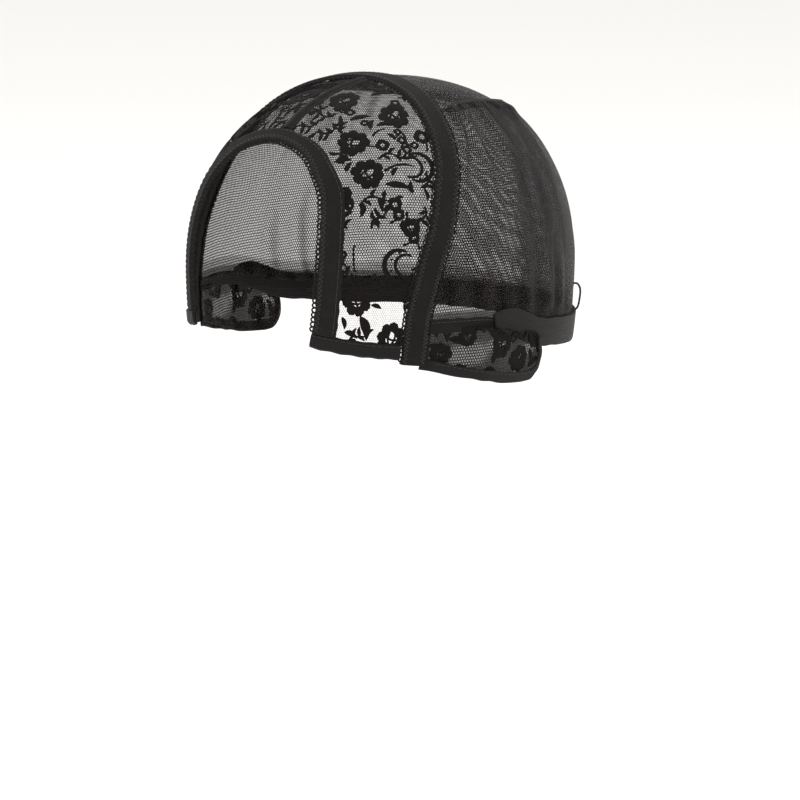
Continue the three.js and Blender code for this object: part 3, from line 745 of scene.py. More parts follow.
def ruled(first, last):
    """Surface of a tape between two edge lines, drawn a little to and fro by its stitches."""

    def at(s, t):
        start, across = first(s), last(s) - first(s)
        drift = 1.5 * np.sin(start @ [0.13, -0.19, 0.11])
        sway = TAPE_SWAY * np.sin(start @ [0.71, 0.52, 0.83] + drift)
        return on_cap(start + across * t[..., None] + unit(across) * sway[..., None])

    return at


def cloth(surface, across, along, lift, thickness, size=(1.0, 1.0)):
    """Closed cloth: two layers of a grid about a middle lift, walled at the edges."""
    s, t = (grid.ravel() for grid in np.meshgrid(across, along, indexing="ij"))
    base = surface(s, t)
    normal = cap_normal(base)
    middle = (lift(s, t, base) if callable(lift) else np.full(len(s), lift))[:, None]
    half = (thickness(s, t) if callable(thickness) else np.full(len(s), thickness))[:, None] / 2
    points = np.concatenate([base + normal * (middle - half), base + normal * (middle + half)])
    flat = np.stack([s * size[0], t * size[1], np.zeros(len(s))], -1)
    columns, rows = len(across) - 1, len(along) - 1
    i, j = (grid.ravel() for grid in np.meshgrid(np.arange(columns), np.arange(rows), indexing="ij"))

    def at(i, j, side):
        return side * len(s) + i * (rows + 1) + j

    quads = [
        np.stack([at(i, j, 1), at(i + 1, j, 1), at(i + 1, j + 1, 1), at(i, j + 1, 1)], -1),
        np.stack([at(i, j, 0), at(i, j + 1, 0), at(i + 1, j + 1, 0), at(i + 1, j, 0)], -1),
    ]
    i, j = np.arange(columns), np.arange(rows)
    quads += [
        np.stack([at(i, 0, 0), at(i + 1, 0, 0), at(i + 1, 0, 1), at(i, 0, 1)], -1),
        np.stack([at(i + 1, rows, 0), at(i, rows, 0), at(i, rows, 1), at(i + 1, rows, 1)], -1),
        np.stack([at(0, j + 1, 0), at(0, j, 0), at(0, j, 1), at(0, j + 1, 1)], -1),
        np.stack([at(columns, j, 0), at(columns, j + 1, 0), at(columns, j + 1, 1), at(columns, j, 1)], -1),
    ]
    part = points, np.concatenate([flat, flat]), np.concatenate(quads), np.zeros((0, 3), int)
    return facing_out(part)


def rolled_edges(thickness, width, radius=0.9):
    """Thickness of a tape whose two long edges are rounded off."""

    def at(s, t):
        reach = np.clip(np.minimum(t, 1 - t) * width / radius, 0, 1)
        return thickness * (0.16 + 0.84 * np.sqrt(1 - (1 - reach) ** 2))

    return at


def pressed(lift, width, drop=0.95):
    """Lift of a tape whose long edges are sewn down onto the cloth under it."""

    def at(s, t, p):
        pucker = TAPE_PUCKER * np.sin(p @ [0.55, 0.48, 0.62])
        return lift + pucker - drop * (1 - smoothstep(np.minimum(t, 1 - t) * width, 0, PRESSED_MARGIN))

    return at


def tape(edges, steps, size, lift, thickness, material):
    """A tape between two edge lines, with its length and width, and its material."""
    surface, places = ruled(*edges), np.linspace(0, 1, steps)
    return cloth(surface, places, TAPE_PLACES, lift, thickness, size), material


def tube(path, radius, sides=6, up=(0, 0, 1)):
    """Closed round thread along a short path: its points, quads and tris."""
    path = np.asarray(path, float)
    along = unit(np.gradient(path, axis=0))
    side = unit(np.cross(along, up))
    over = np.cross(side, along)
    turn = 2 * np.pi * np.arange(sides) / sides
    radii = np.full(len(path), radius) if np.isscalar(radius) else np.asarray(radius)
    ring = side[:, None] * np.cos(turn)[:, None] + over[:, None] * np.sin(turn)[:, None]
    points = (path[:, None] + ring * radii[:, None, None]).reshape(-1, 3)
    quads = []
    for k in range(sides):
        a = np.arange(len(path) - 1) * sides + k
        b = np.arange(len(path) - 1) * sides + (k + 1) % sides
        quads.append(np.stack([a, b, b + sides, a + sides], -1))
    last = (len(path) - 1) * sides
    fan = np.arange(1, sides - 1)
    first_end = np.stack([0 * fan, fan + 1, fan], -1)
    last_end = np.stack([0 * fan, fan, fan + 1], -1) + last
    tris = np.concatenate([first_end, last_end])
    return facing_out((points, points, np.concatenate(quads), tris))


def stamped(part, line, places, lift, aside=0.0):
    """Copies of a small part along a line of the cap: x runs along it, y to its left, z out."""
    local, _, quads, tris = part
    places = np.asarray(places, float)
    base = line(places)
    tangent = unit(line(np.minimum(places + 0.002, 1)) - line(np.maximum(places - 0.002, 0)))
    normal = cap_normal(base)
    side = np.cross(normal, tangent)
    base = on_cap(base + side * aside)
    normal = cap_normal(base)
    lift = lift(base) if callable(lift) else np.full(len(base), lift)
    origin = base + normal * lift[:, None]
    points = (
        origin[:, None]
        + local[:, 0, None] * tangent[:, None]
        + local[:, 1, None] * side[:, None]
        + local[:, 2, None] * normal[:, None]
    )
    weave = np.zeros((len(places), len(local), 3))
    weave[..., 0] = places[:, None] * 100 + local[:, 0]
    weave[..., 1] = local[:, 1]
    shift = len(local) * np.arange(len(places))[:, None, None]
    quads, tris = (quads + shift).reshape(-1, 4), (tris + shift).reshape(-1, 3)
    return points.reshape(-1, 3), weave.reshape(-1, 3), quads, tris


def straight_stitch(length):
    """One sunk stitch of sewing thread."""
    u = np.linspace(-1, 1, 7)
    path = np.stack([u * length / 2, 0 * u, 0.1 - 0.26 * u**4], -1)
    return tube(path, STITCH_THREAD, 6, (0, 1, 0))


def zigzag_stitch(length, width):
    """One there and back of a zigzag stitch, which crosses a seam or an edge."""
    u = np.linspace(-1, 1, 9)
    path = np.stack([u * length / 2, width * (0.5 - np.abs(u)), 0.08 - 0.12 * np.cos(2 * np.pi * u) ** 4], -1)
    return tube(path, STITCH_THREAD, 6)


def stitch_row(stitch, pitch, line, lift, aside=0.0, start=0.0, end=1.0):
    count = max(2, int(length_of(line) * (end - start) / pitch))
    places = start + (end - start) * (np.arange(count) + 0.5) / count
    return stamped(stitch, line, places, lift, aside)


# Knitted polyester elastic and tape, dyed black. It is matt, with ribs 0.5 to 0.9 mm apart and a short lint
# on the surface that catches some light in specks. Its colour is lighter where the ribs and lint stand
# highest, a painted highlight on their crests, varies at random in broad patches, and has light grey specks
# on the lint, which are painted glints.
def elastic_material(name, ribs_across, rib_pitch, speck_share, roughness, grey=BAND_GREY, gloss=0.15):
    made = new_material(name)
    place = add(made, "ShaderNodeAttribute", {"attribute_name": "weave"})
    ribs = add(
        made,
        "ShaderNodeTexWave",
        {
            "bands_direction": "X" if ribs_across else "Y",
            "Scale": 0.314 / rib_pitch,
            "Distortion": 0.6,
            "Detail": 1.0,
            "Detail Scale": 2.0,
        },
        {"Vector": place.outputs["Vector"]},
    )
    cross = add(
        made,
        "ShaderNodeTexWave",
        {"bands_direction": "Y" if ribs_across else "X", "Scale": 0.5, "Distortion": 0.4},
        {"Vector": place.outputs["Vector"]},
    )
    lint = add(made, "ShaderNodeTexNoise", {"Scale": 1500.0, "Detail": 4.0, "Roughness": 0.7})
    area = add(made, "ShaderNodeTexNoise", {"Scale": 90.0, "Detail": 2.0})
    object_place = add(made, "ShaderNodeTexCoord")
    for noise in (lint, area):
        made.node_tree.links.new(object_place.outputs["Object"], noise.inputs["Vector"])
    knit = add(
        made,
        "ShaderNodeMath",
        {"operation": "MULTIPLY_ADD", 1: 0.5},
        {0: cross.outputs["Fac"], 2: ribs.outputs["Fac"]},
    )
    height = add(
        made,
        "ShaderNodeMath",
        {"operation": "MULTIPLY_ADD", 1: 1.3},
        {0: lint.outputs["Fac"], 2: knit.outputs[0]},
    )
    shade = add(
        made,
        "ShaderNodeMapRange",
        {"From Min": 0.6, "From Max": 2.4},
        {"Value": height.outputs[0]},
    )
    # Painted highlight: the colour goes lighter where the knit and lint stand highest, times random broad
    # patches of tone.
    crest_highlight_and_patches = add(
        made,
        "ShaderNodeMath",
        {"operation": "MULTIPLY"},
        {0: shade.outputs[0], 1: area.outputs["Fac"]},
    )
    tone = add(
        made,
        "ShaderNodeMix",
        {"data_type": "RGBA", 6: colour(BAND_BLACK), 7: colour(grey)},
        {0: crest_highlight_and_patches.outputs[0]},
    )
    # Painted glints: light grey specks where the lint catches light.
    specks = add(
        made,
        "ShaderNodeMapRange",
        {"From Min": 0.74 - speck_share, "From Max": 0.8 - speck_share},
        {"Value": lint.outputs["Fac"]},
    )
    speckled = add(
        made,
        "ShaderNodeMix",
        {"data_type": "RGBA", 7: colour("#8d8683")},
        {0: specks.outputs[0], 6: tone.outputs[2]},
    )
    relief = add(
        made,
        "ShaderNodeBump",
        {"Strength": 0.6, "Distance": 0.0003},
        {"Height": height.outputs[0]},
    )
    shader = add(
        made,
        "ShaderNodeBsdfPrincipled",
        {"Roughness": roughness, "Specular IOR Level": gloss, "Sheen Weight": 0.03, "Sheen Roughness": 0.4},
        {"Base Color": speckled.outputs[2], "Normal": relief.outputs[0]},
    )
    add(made, "ShaderNodeOutputMaterial", {}, {"Surface": shader.outputs[0]})
    return made


woven_tape = elastic_material("woven polyester tape", True, 0.7, 0.02, 0.8)

# Spun polyester sewing thread, black but greyer than the cloth, because its twist catches light.
sewing_thread = new_material("spun polyester sewing thread")
thread_place = add(sewing_thread, "ShaderNodeTexCoord")
thread_fibres = add(
    sewing_thread,
    "ShaderNodeTexNoise",
    {"Scale": 2200.0, "Detail": 3.0},
    {"Vector": thread_place.outputs["Object"]},
)
thread_tone = add(
    sewing_thread,
    "ShaderNodeMix",
    {"data_type": "RGBA", 6: colour("#141212"), 7: colour("#332f2d")},
    {0: thread_fibres.outputs["Fac"]},
)
thread_relief = add(
    sewing_thread,
    "ShaderNodeBump",
    {"Strength": 0.5, "Distance": 0.0001},
    {"Height": thread_fibres.outputs["Fac"]},
)
thread_shader = add(
    sewing_thread,
    "ShaderNodeBsdfPrincipled",
    {"Roughness": 0.6, "Specular IOR Level": 0.25, "Sheen Weight": 0.05},
    {"Base Color": thread_tone.outputs[2], "Normal": thread_relief.outputs[0]},
)
add(sewing_thread, "ShaderNodeOutputMaterial", {}, {"Surface": thread_shader.outputs[0]})

seam_front = point_at(beside(opening_edge(), lambda u: -opening_binding_width(u) - GAP), 0.5)
seam_rear = point_at(ear_band_line(SEAM_SPAN_ROLL, -SEAM_SPAN_ROLL, -GAP), 0.5)
seam_front, seam_rear = seam_front * [0, 1, 1], seam_rear * [0, 1, 1]
seam_sides, seam_turnings = (
    [straight_line(seam_front + [x, 0, 0], seam_rear + [x, 0, 0]) for x in (-half, half)]
    for half in (SEAM_TAPE_WIDTH / 2, SEAM_TURNING_WIDTH / 2)
)
seam_middle = straight_line(seam_front, seam_rear)
seam_length = length_of(seam_middle)
seam_tape = [
    tape(
        seam_sides,
        60,
        (seam_length, SEAM_TAPE_WIDTH),
        pressed(SEAM_TAPE_LIFT, SEAM_TAPE_WIDTH, 0.5),
        rolled_edges(SEAM_TAPE_THICKNESS, SEAM_TAPE_WIDTH, 0.6),
        woven_tape,
    ),
    tape(
        seam_turnings,
        60,
        (seam_length, SEAM_TURNING_WIDTH),
        pressed(SEAM_TURNING_LIFT, SEAM_TURNING_WIDTH, 0.3),
        rolled_edges(SEAM_TURNING_THICKNESS, SEAM_TURNING_WIDTH, 0.5),
        woven_tape,
    ),
    (stitch_row(straight_stitch(2.1), 2.5, seam_middle, 2.1), sewing_thread),
]
make_piece("seam_tape", seam_tape, "elastic", "centre_seam_tape")


# Opening binding. A soft knitted elastic, 10.5 mm wide, that frames the U-shaped opening. A row of
# small thread loops, 2.1 mm apart, stands off its inner edge, and two rows of stitches hold it.
PICOT_PITCH = 2.1
PICOT_THREAD = 0.42


def height_over(line, p):
    places = line(np.linspace(0, 1, 201))
    nearest = np.argmin(np.linalg.norm(places[None] - p[:, None], axis=2), axis=1)
    return p[:, 2] - places[nearest, 2]


def place_over(line, limit, other, height):
    """Place on a rising line where it is a height over another line."""
    places = np.linspace(0, limit, 400)
    above = height_over(other, line(places)) >= height
    return places[np.argmax(above)]


def picot(side=1, reach=1.5):
    """One small loop of thread that stands off an edge, to the left or the right of its line."""
    turn = np.linspace(0, np.pi, 8)
    out = side * (reach * np.sin(turn) - 0.3)
    path = np.stack([0.5 * PICOT_PITCH * np.cos(turn), out, 0 * turn - 0.6], -1)
    return tube(path, PICOT_THREAD, 5)


plush_elastic = elastic_material("knitted plush elastic", True, 0.9, 0.035, 0.88)

binding_inner = opening_edge()
binding_outer = beside(binding_inner, lambda u: -opening_binding_width(u))
hairline_top = beside(hairline_edge(), HAIRLINE_BINDING_WIDTH)
end_inner = place_over(binding_inner, 0.3, hairline_top, -0.3)
end_outer = place_over(binding_outer, 0.3, hairline_top, -0.3)
binding_edges = [
    section(binding_inner, end_inner, 1 - end_inner),
    section(binding_outer, end_outer, 1 - end_outer),
]
binding_length = length_of(binding_edges[0])
opening_binding = [
    tape(
        binding_edges,
        240,
        (binding_length, OPENING_BINDING_WIDTH),
        pressed(BAND_LIFT, OPENING_BINDING_WIDTH),
        rolled_edges(BAND_THICKNESS, OPENING_BINDING_WIDTH),
        plush_elastic,
    ),
    (stitch_row(picot(), PICOT_PITCH, binding_edges[0], BAND_LIFT, 0.0, 0.003, 0.997), plush_elastic),
    (
        stitch_row(zigzag_stitch(2.0, 1.7), 2.0, binding_edges[0], BAND_LIFT + 0.5, -2.0, 0.005, 0.995),
        sewing_thread,
    ),
    (
        stitch_row(straight_stitch(2.2), 2.6, binding_edges[1], BAND_LIFT + 0.48, 1.5, 0.005, 0.995),
        sewing_thread,
    ),
]
make_piece("opening_elastic", opening_binding, "elastic", "opening_binding")


# Crown nets. A fine stretch net of nylon and elastane, dyed black and seen through like a veil.
# The top piece lies smooth behind the band. The back piece is gathered onto its curved edge, so
# that it falls in pleats that run out down the back, with soft folds over the nape band.
TOP_NET_HALF_WIDTH = 43.0
TOP_NET_LENGTH_BACK = 62.0
GATHER_START_ROLL = 27.0
GATHER_LAP = 2.0
SEAM_GAP = 0.6
FLAT_SHARE = 0.05
SECOND_LIFT = 1.3
PLEAT_RISE = 1.9
FOLD_RISE = 1.7
FOLD_END = 0.93
NET_LIFT = 0.5
TOP_NET_LIFT = 0.25
NET_THICKNESS = 0.2
GATHER_ROWS = [
    # half-width share, back share
    (1, -0.04),
    (0.98, 0.16),
    (0.93, 0.4),
    (0.81, 0.64),
    (0.58, 0.85),
    (0.3, 0.96),
    (0, 1),
]
NAPE_BAND_WIDTH = 6.3
NAPE_BAND_EAR_DROP = 8.3
NAPE_BAND_BACK_DROP = 24.0
NAPE_ROWS = [
    # azimuth, drop share
    (50, 0),
    (78, 0.13),
    (100, 0.57),
    (128, 0.8),
    (180, 1),
]
PLEAT_ROWS = [
    # place share, half-width share, rise share, reach share
    (0.035, 0.016, 0.75, 0.55),
    (0.085, 0.02, 1, 0.5),
    (0.14, 0.02, 0.9, 0.6),
    (0.2, 0.024, 0.7, 0.45),
    (0.265, 0.024, 0.8, 0.5),
    (0.335, 0.026, 0.6, 0.4),
    (0.415, 0.026, 0.6, 0.4),
]
FOLD_ROWS = [
    # place share, half-width share, rise share, reach share
    (0.165, 0.022, 0.7, 0.4),
    (0.215, 0.02, 1, 0.5),
    (0.25, 0.018, 0.7, 0.4),
    (0.37, 0.025, 0.7, 0.45),
    (0.45, 0.025, 0.6, 0.4),
]
RUFFLE_PITCH = 0.016
RUFFLE_RISE = 0.2
NET_BLACK = "#0e0c0c"
NET_GREY = "#211d1c"
NET_HOLE_PITCH = 1.2
NET_ROUND_RADIUS = 84.0
NET_RISE_RADIUS = 88.0


def round_point(azimuth, height):
    """Point of the cap at an azimuth from its front and a height over the widest level."""
    azimuth, height = np.broadcast_arrays(np.radians(azimuth), np.asarray(height, float))
    reach = np.where(height > 0, CROWN_HEIGHT, NARROWING_DEPTH)
    share = (1 - (np.abs(height) / reach) ** RISE_POWER) ** (1 / RISE_POWER)
    p = on_cap(np.stack([np.sin(azimuth), -np.cos(azimuth), 0 * azimuth], -1)) * share[..., None]
    return np.stack([p[..., 0], p[..., 1], height], -1)


def nape_top(azimuth):
    share = read_table(NAPE_ROWS, np.minimum(azimuth, 360 - azimuth))
    return round_point(azimuth, -(NAPE_BAND_EAR_DROP + share * (NAPE_BAND_BACK_DROP - NAPE_BAND_EAR_DROP)))


def nape_line(start, end, below):
    return beside(lambda u: nape_top(start + (end - start) * u), -below)


def ear_band_lap(from_roll, to_roll):
    return ear_band_line(from_roll, to_roll, EAR_BAND_WIDTH - LAP)


def azimuth_of(p):
    return np.degrees(np.arctan2(p[..., 0], -p[..., 1]))


def roll_at_nape(below):
    """Roll at which the lap line of the ear-to-ear band is a distance below the nape band's top."""
    rolls = np.linspace(80, EAR_BAND_END_ROLL, 1500)
    p = ear_band_lap(0, EAR_BAND_END_ROLL)(rolls / EAR_BAND_END_ROLL)
    return rolls[np.argmax(p[:, 2] <= nape_top(azimuth_of(p))[:, 2] - below)]


def gather_seam():
    wide, back = np.array(GATHER_ROWS, float).T
    right = np.stack([wide * TOP_NET_HALF_WIDTH, back * TOP_NET_LENGTH_BACK, 0 * wide], -1)
    share = cap_value(right) ** (1 / RISE_POWER)
    right[:, 2] = CROWN_HEIGHT * (1 - share**RISE_POWER) ** (1 / RISE_POWER)
    start = ear_band_lap(0, GATHER_START_ROLL)(np.array([1.0]))
    half = np.concatenate([start, right])
    return smooth_line(np.concatenate([half, (half[:-1] * [-1, 1, 1])[::-1]]))


def bump(offset, half_width):
    share = np.clip(np.abs(offset) / half_width, 0, 1)
    return (1 + np.cos(np.pi * share)) / 2


def back_net_lift(s, t, base):
    place = np.minimum(s, 1 - s)
    rise = SECOND_LIFT * (1 - smoothstep(t, 0.03, 0.11))
    for at, half_width, share, reach in PLEAT_ROWS:
        begun = smoothstep(t, 0, 0.06)
        fade = begun * (1 - smoothstep(t, 0.06, reach)) + 0.4 * (1 - begun)
        lean = at + 0.012 * np.sin(9 * t + 40 * at)
        rise = rise + PLEAT_RISE * share * fade * bump(place - lean, half_width) ** 0.8
    for at, half_width, share, reach in FOLD_ROWS:
        low = smoothstep(t, FOLD_END - reach, FOLD_END - reach / 2)
        hem = 1 - smoothstep(t, FOLD_END - 0.1, FOLD_END)
        rise = rise + FOLD_RISE * share * low * hem * bump(place - at, half_width)
    ruffle = RUFFLE_RISE * np.sin(2 * np.pi * place / RUFFLE_PITCH + 3 * np.sin(60 * place))
    ruffle = ruffle * (1 - smoothstep(t, 0.02, 0.16))
    rise = (rise + ruffle * smoothstep(rise, 0.1, 0.6)) * smoothstep(place, 0.02, FLAT_SHARE)
    return NET_LIFT - 0.3 * smoothstep(t, 0.93, 0.98) + rise


def back_net_folds(places):
    """How much cloth lies doubled: by the seams, and in the folds that fell on the right side."""
    place, t = np.minimum(places[:, 0], 1 - places[:, 0]), places[:, 1]
    wave = 0.75 + 0.25 * np.sin(2 * np.pi * place / 0.055 + 2 * np.sin(4 * t))
    side = smoothstep(place, 0.12, 0.18) * (1 - smoothstep(place, 0.24, 0.3)) * wave
    right = places[:, 0] < 0.5
    doubled = np.where(right, 0.45, 0.05) * side + 0.2 * smoothstep(t, 0.872, 0.884)
    doubled += 0.3 * smoothstep(t, 0.925, 0.935)
    doubled += 0.12 * right * (1 - smoothstep(t, 0.02, 0.15)) * smoothstep(place, 0.02, FLAT_SHARE)
    for at, half_width, share, reach in PLEAT_ROWS:
        lean = at + 0.012 * np.sin(9 * t + 40 * at) + 0.6 * half_width
        fade = 1 - smoothstep(t, 0.3 * reach, reach)
        doubled += np.where(right, 0.34, 0.2) * share * bump(place - lean, 0.55 * half_width) * fade
    for at, half_width, share, reach in FOLD_ROWS:
        low = smoothstep(t, FOLD_END - reach, FOLD_END - reach / 3)
        doubled += 0.22 * share * bump(place - at - 0.5 * half_width, 0.5 * half_width) * low
    return doubled


# Fine stretch net, black. The threads are dull and slightly brown where light passes, and the
# holes let the far side show. The real holes look finer: these are 1.2 mm apart, so that they show.
def net_material(name, density, veil):
    made = new_material(name)
    place = add(made, "ShaderNodeAttribute", {"attribute_name": "weave"})
    drift = add(
        made,
        "ShaderNodeTexNoise",
        {"Scale": 0.06, "Detail": 2.0},
        {"Vector": place.outputs["Vector"]},
    )
    shifted = add(
        made,
        "ShaderNodeVectorMath",
        {"operation": "MULTIPLY_ADD", 1: (1.2, 1.2, 0.0)},
        {0: drift.outputs["Color"], 2: place.outputs["Vector"]},
    )
    parts = add(made, "ShaderNodeSeparateXYZ", {}, {"Vector": place.outputs["Vector"]})
    haze = add(
        made,
        "ShaderNodeMath",
        {"operation": "ADD", 1: veil, "use_clamp": True},
        {0: parts.outputs["Z"]},
    )
    total = None
    for angle in (90, 210, 330):
        k = 4 * math.pi / (math.sqrt(3) * NET_HOLE_PITCH)
        along = (k * math.cos(math.radians(angle)), 0.82 * k * math.sin(math.radians(angle)), 0.0)
        dot = add(
            made,
            "ShaderNodeVectorMath",
            {"operation": "DOT_PRODUCT", 1: along},
            {0: shifted.outputs[0]},
        )
        wave = add(made, "ShaderNodeMath", {"operation": "COSINE"}, {0: dot.outputs["Value"]})
        if total is None:
            total = wave
        else:
            total = add(
                made,
                "ShaderNodeMath",
                {"operation": "ADD"},
                {0: total.outputs[0], 1: wave.outputs[0]},
            )
    solid = add(
        made,
        "ShaderNodeMapRange",
        {"From Min": density + 0.5, "From Max": density - 0.5, "To Max": 0.88},
        {"Value": total.outputs[0], "To Min": haze.outputs[0]},
    )
    streaks = add(
        made,
        "ShaderNodeTexWave",
        {"bands_direction": "X", "Scale": 0.022, "Distortion": 3.0, "Detail": 1.0, "Detail Scale": 0.5},
        {"Vector": place.outputs["Vector"]},
    )
    tone = add(
        made,
        "ShaderNodeMix",
        {"data_type": "RGBA", 6: colour(NET_BLACK), 7: colour(NET_GREY)},
        {0: streaks.outputs["Fac"]},
    )
    relief = add(made, "ShaderNodeBump", {"Strength": 0.5, "Distance": 0.0002}, {"Height": solid.outputs[0]})
    shader = add(
        made,
        "ShaderNodeBsdfPrincipled",
        {"Roughness": 0.6, "Specular IOR Level": 0.08, "Sheen Weight": 0.02, "Sheen Roughness": 0.35},
        {"Base Color": tone.outputs[2], "Normal": relief.outputs[0], "Alpha": solid.outputs[0]},
    )
    add(made, "ShaderNodeOutputMaterial", {}, {"Surface": shader.outputs[0]})
    return made


stretch_net = net_material("nylon stretch net", -0.4, 0.2)

top_seam_side = beside(gather_seam(), -GATHER_LAP)
top_band_side = ear_band_lap(GATHER_START_ROLL - 2, 2 - GATHER_START_ROLL)
top_ends = [[point_at(line, u) for line in (top_band_side, top_seam_side)] for u in (0, 1)]
top_surface = patch(top_band_side, top_seam_side, straight_line(*top_ends[0]), straight_line(*top_ends[1]))
top_net = cloth(top_surface, np.linspace(0, 1, 121), np.linspace(0, 1, 61), TOP_NET_LIFT, NET_THICKNESS)
top_net = (top_net[0], top_net[0] * [1, 1, 0], *top_net[2:])
top_net_piece = make_piece("top_net", [(top_net, stretch_net)], "stretch_net", "crown_top_net")

net_end_roll = roll_at_nape(2.0)
net_sides = [ear_band_lap(side * GATHER_START_ROLL, side * net_end_roll) for side in (1, -1)]
net_azimuth = azimuth_of(point_at(net_sides[0], 1))
net_lower = nape_line(net_azimuth, 360 - net_azimuth, 2.0)
back_surface = patch(gather_seam(), net_lower, *net_sides)
net_rows = np.concatenate([np.linspace(0, 0.12, 13)[:-1], np.linspace(0.12, 1, 60)])
back_net = cloth(back_surface, np.linspace(0, 1, 501), net_rows, back_net_lift, NET_THICKNESS)
around = azimuth_of(back_net[0]) % 360
net_x = np.radians(around - 180) * NET_ROUND_RADIUS
net_y = np.arcsin(np.clip(back_net[0][:, 2] / NET_RISE_RADIUS, -1, 1)) * NET_RISE_RADIUS
back_net = (back_net[0], np.stack([net_x, net_y, back_net_folds(back_net[1])], -1), *back_net[2:])
gather_lift = NET_LIFT + SECOND_LIFT + 0.35
gather_stitches = stitch_row(zigzag_stitch(1.7, 2.2), 1.7, gather_seam(), gather_lift, 0.9, 0.05, 0.95)
back_net_parts = [(back_net, stretch_net), (gather_stitches, sewing_thread)]
back_net_piece = make_piece("back_net", back_net_parts, "stretch_net", "crown_back_net")


# Ear-to-ear band. A plush elastic, 12 mm wide, that runs from one ear over the crown to the other
# and joins the lace to the nets. Its face is fuzzy, small thread loops edge it on both sides, and
# a zigzag row holds each of its edges.
plush_band = elastic_material("plush elastic band", False, 0.8, 0.05, 0.9)
BAND_LOOP_REACH = 0.9
BAND_LOOP_PITCH = 2.4
BAND_STITCH_LIFT = BAND_LIFT + 0.46
band_front = ear_band_line(EAR_BAND_END_ROLL, -EAR_BAND_END_ROLL, BAND_LOOP_REACH / 2)
band_rear = ear_band_line(EAR_BAND_END_ROLL, -EAR_BAND_END_ROLL, EAR_BAND_WIDTH - BAND_LOOP_REACH / 2)
band_length = length_of(band_front)
ear_band = [
    tape(
        (band_front, band_rear),
        320,
        (band_length, EAR_BAND_WIDTH),
        pressed(BAND_LIFT, EAR_BAND_WIDTH),
        rolled_edges(BAND_THICKNESS, EAR_BAND_WIDTH, 1.4),
        plush_band,
    ),
    (stitch_row(picot(1, 1.2), BAND_LOOP_PITCH, band_front, BAND_LIFT - 0.2, 0.0, 0.004, 0.996), plush_band),
    (stitch_row(picot(-1, 1.2), BAND_LOOP_PITCH, band_rear, BAND_LIFT - 0.2, 0.0, 0.004, 0.996), plush_band),
    (
        stitch_row(zigzag_stitch(2.1, 1.8), 2.1, band_front, BAND_STITCH_LIFT, -1.7, 0.004, 0.996),
        sewing_thread,
    ),
    (
        stitch_row(zigzag_stitch(2.1, 1.8), 2.1, band_rear, BAND_STITCH_LIFT, 1.7, 0.004, 0.996),
        sewing_thread,
    ),
]
make_piece("ear_band", ear_band, "elastic", "ear_to_ear_band")


# Nape band. A flat elastic along the lower edge of the back net, from one ear-to-ear band end to
# the other. The net is turned over it and stitched down along its upper edge.
NAPE_BAND_LIFT = 0.75
NAPE_BAND_THICKNESS = 0.7
smooth_elastic = elastic_material("braided elastic tape", False, 0.9, 0.0, 0.75, "#211e1d", 0.12)
nape_azimuth = azimuth_of(point_at(ear_band_lap(0, roll_at_nape(0)), 1))
nape_upper = nape_line(nape_azimuth, 360 - nape_azimuth, 0)
nape_lower = nape_line(nape_azimuth, 360 - nape_azimuth, NAPE_BAND_WIDTH)
nape_length = length_of(nape_upper)
nape = [
    tape(
        (nape_upper, nape_lower),
        300,
        (nape_length, NAPE_BAND_WIDTH),
        NAPE_BAND_LIFT,
        rolled_edges(NAPE_BAND_THICKNESS, NAPE_BAND_WIDTH, 0.8),
        smooth_elastic,
    ),
    (stitch_row(straight_stitch(2.2), 2.6, nape_upper, NAPE_BAND_LIFT + 0.3, -1.3), sewing_thread),
]
nape_piece = make_piece("nape_elastic", nape, "elastic", "nape_band")


# Hairline bindings. Smooth folded bias tape, 7 mm wide, that closes the lower edge of each lace
# panel between the opening and the ear-to-ear band, stitched down near its upper edge.
HAIRLINE_BINDING_THICKNESS = 1.15
bias_tape = elastic_material("folded bias tape", True, 0.55, -0.02, 0.65, "#1d1a19", 0.15)
hair_lower = hairline_edge()
hair_upper = beside(hair_lower, HAIRLINE_BINDING_WIDTH)
hair_length = length_of(hair_lower)
hairline = [
    tape(
        (hair_lower, hair_upper),
        50,
        (hair_length, HAIRLINE_BINDING_WIDTH),
        pressed(BAND_LIFT, HAIRLINE_BINDING_WIDTH, 0.8),
        rolled_edges(HAIRLINE_BINDING_THICKNESS, HAIRLINE_BINDING_WIDTH, 1.1),
        bias_tape,
    ),
    (stitch_row(straight_stitch(2.0), 2.4, hair_upper, BAND_LIFT + 0.5, -1.1), sewing_thread),
]
hair_right = make_piece("hairline_tape_right", hairline, "elastic", "hairline_binding_right")
hair_left = make_piece("hairline_tape_left", on_left(hairline), "elastic", "hairline_binding_left")


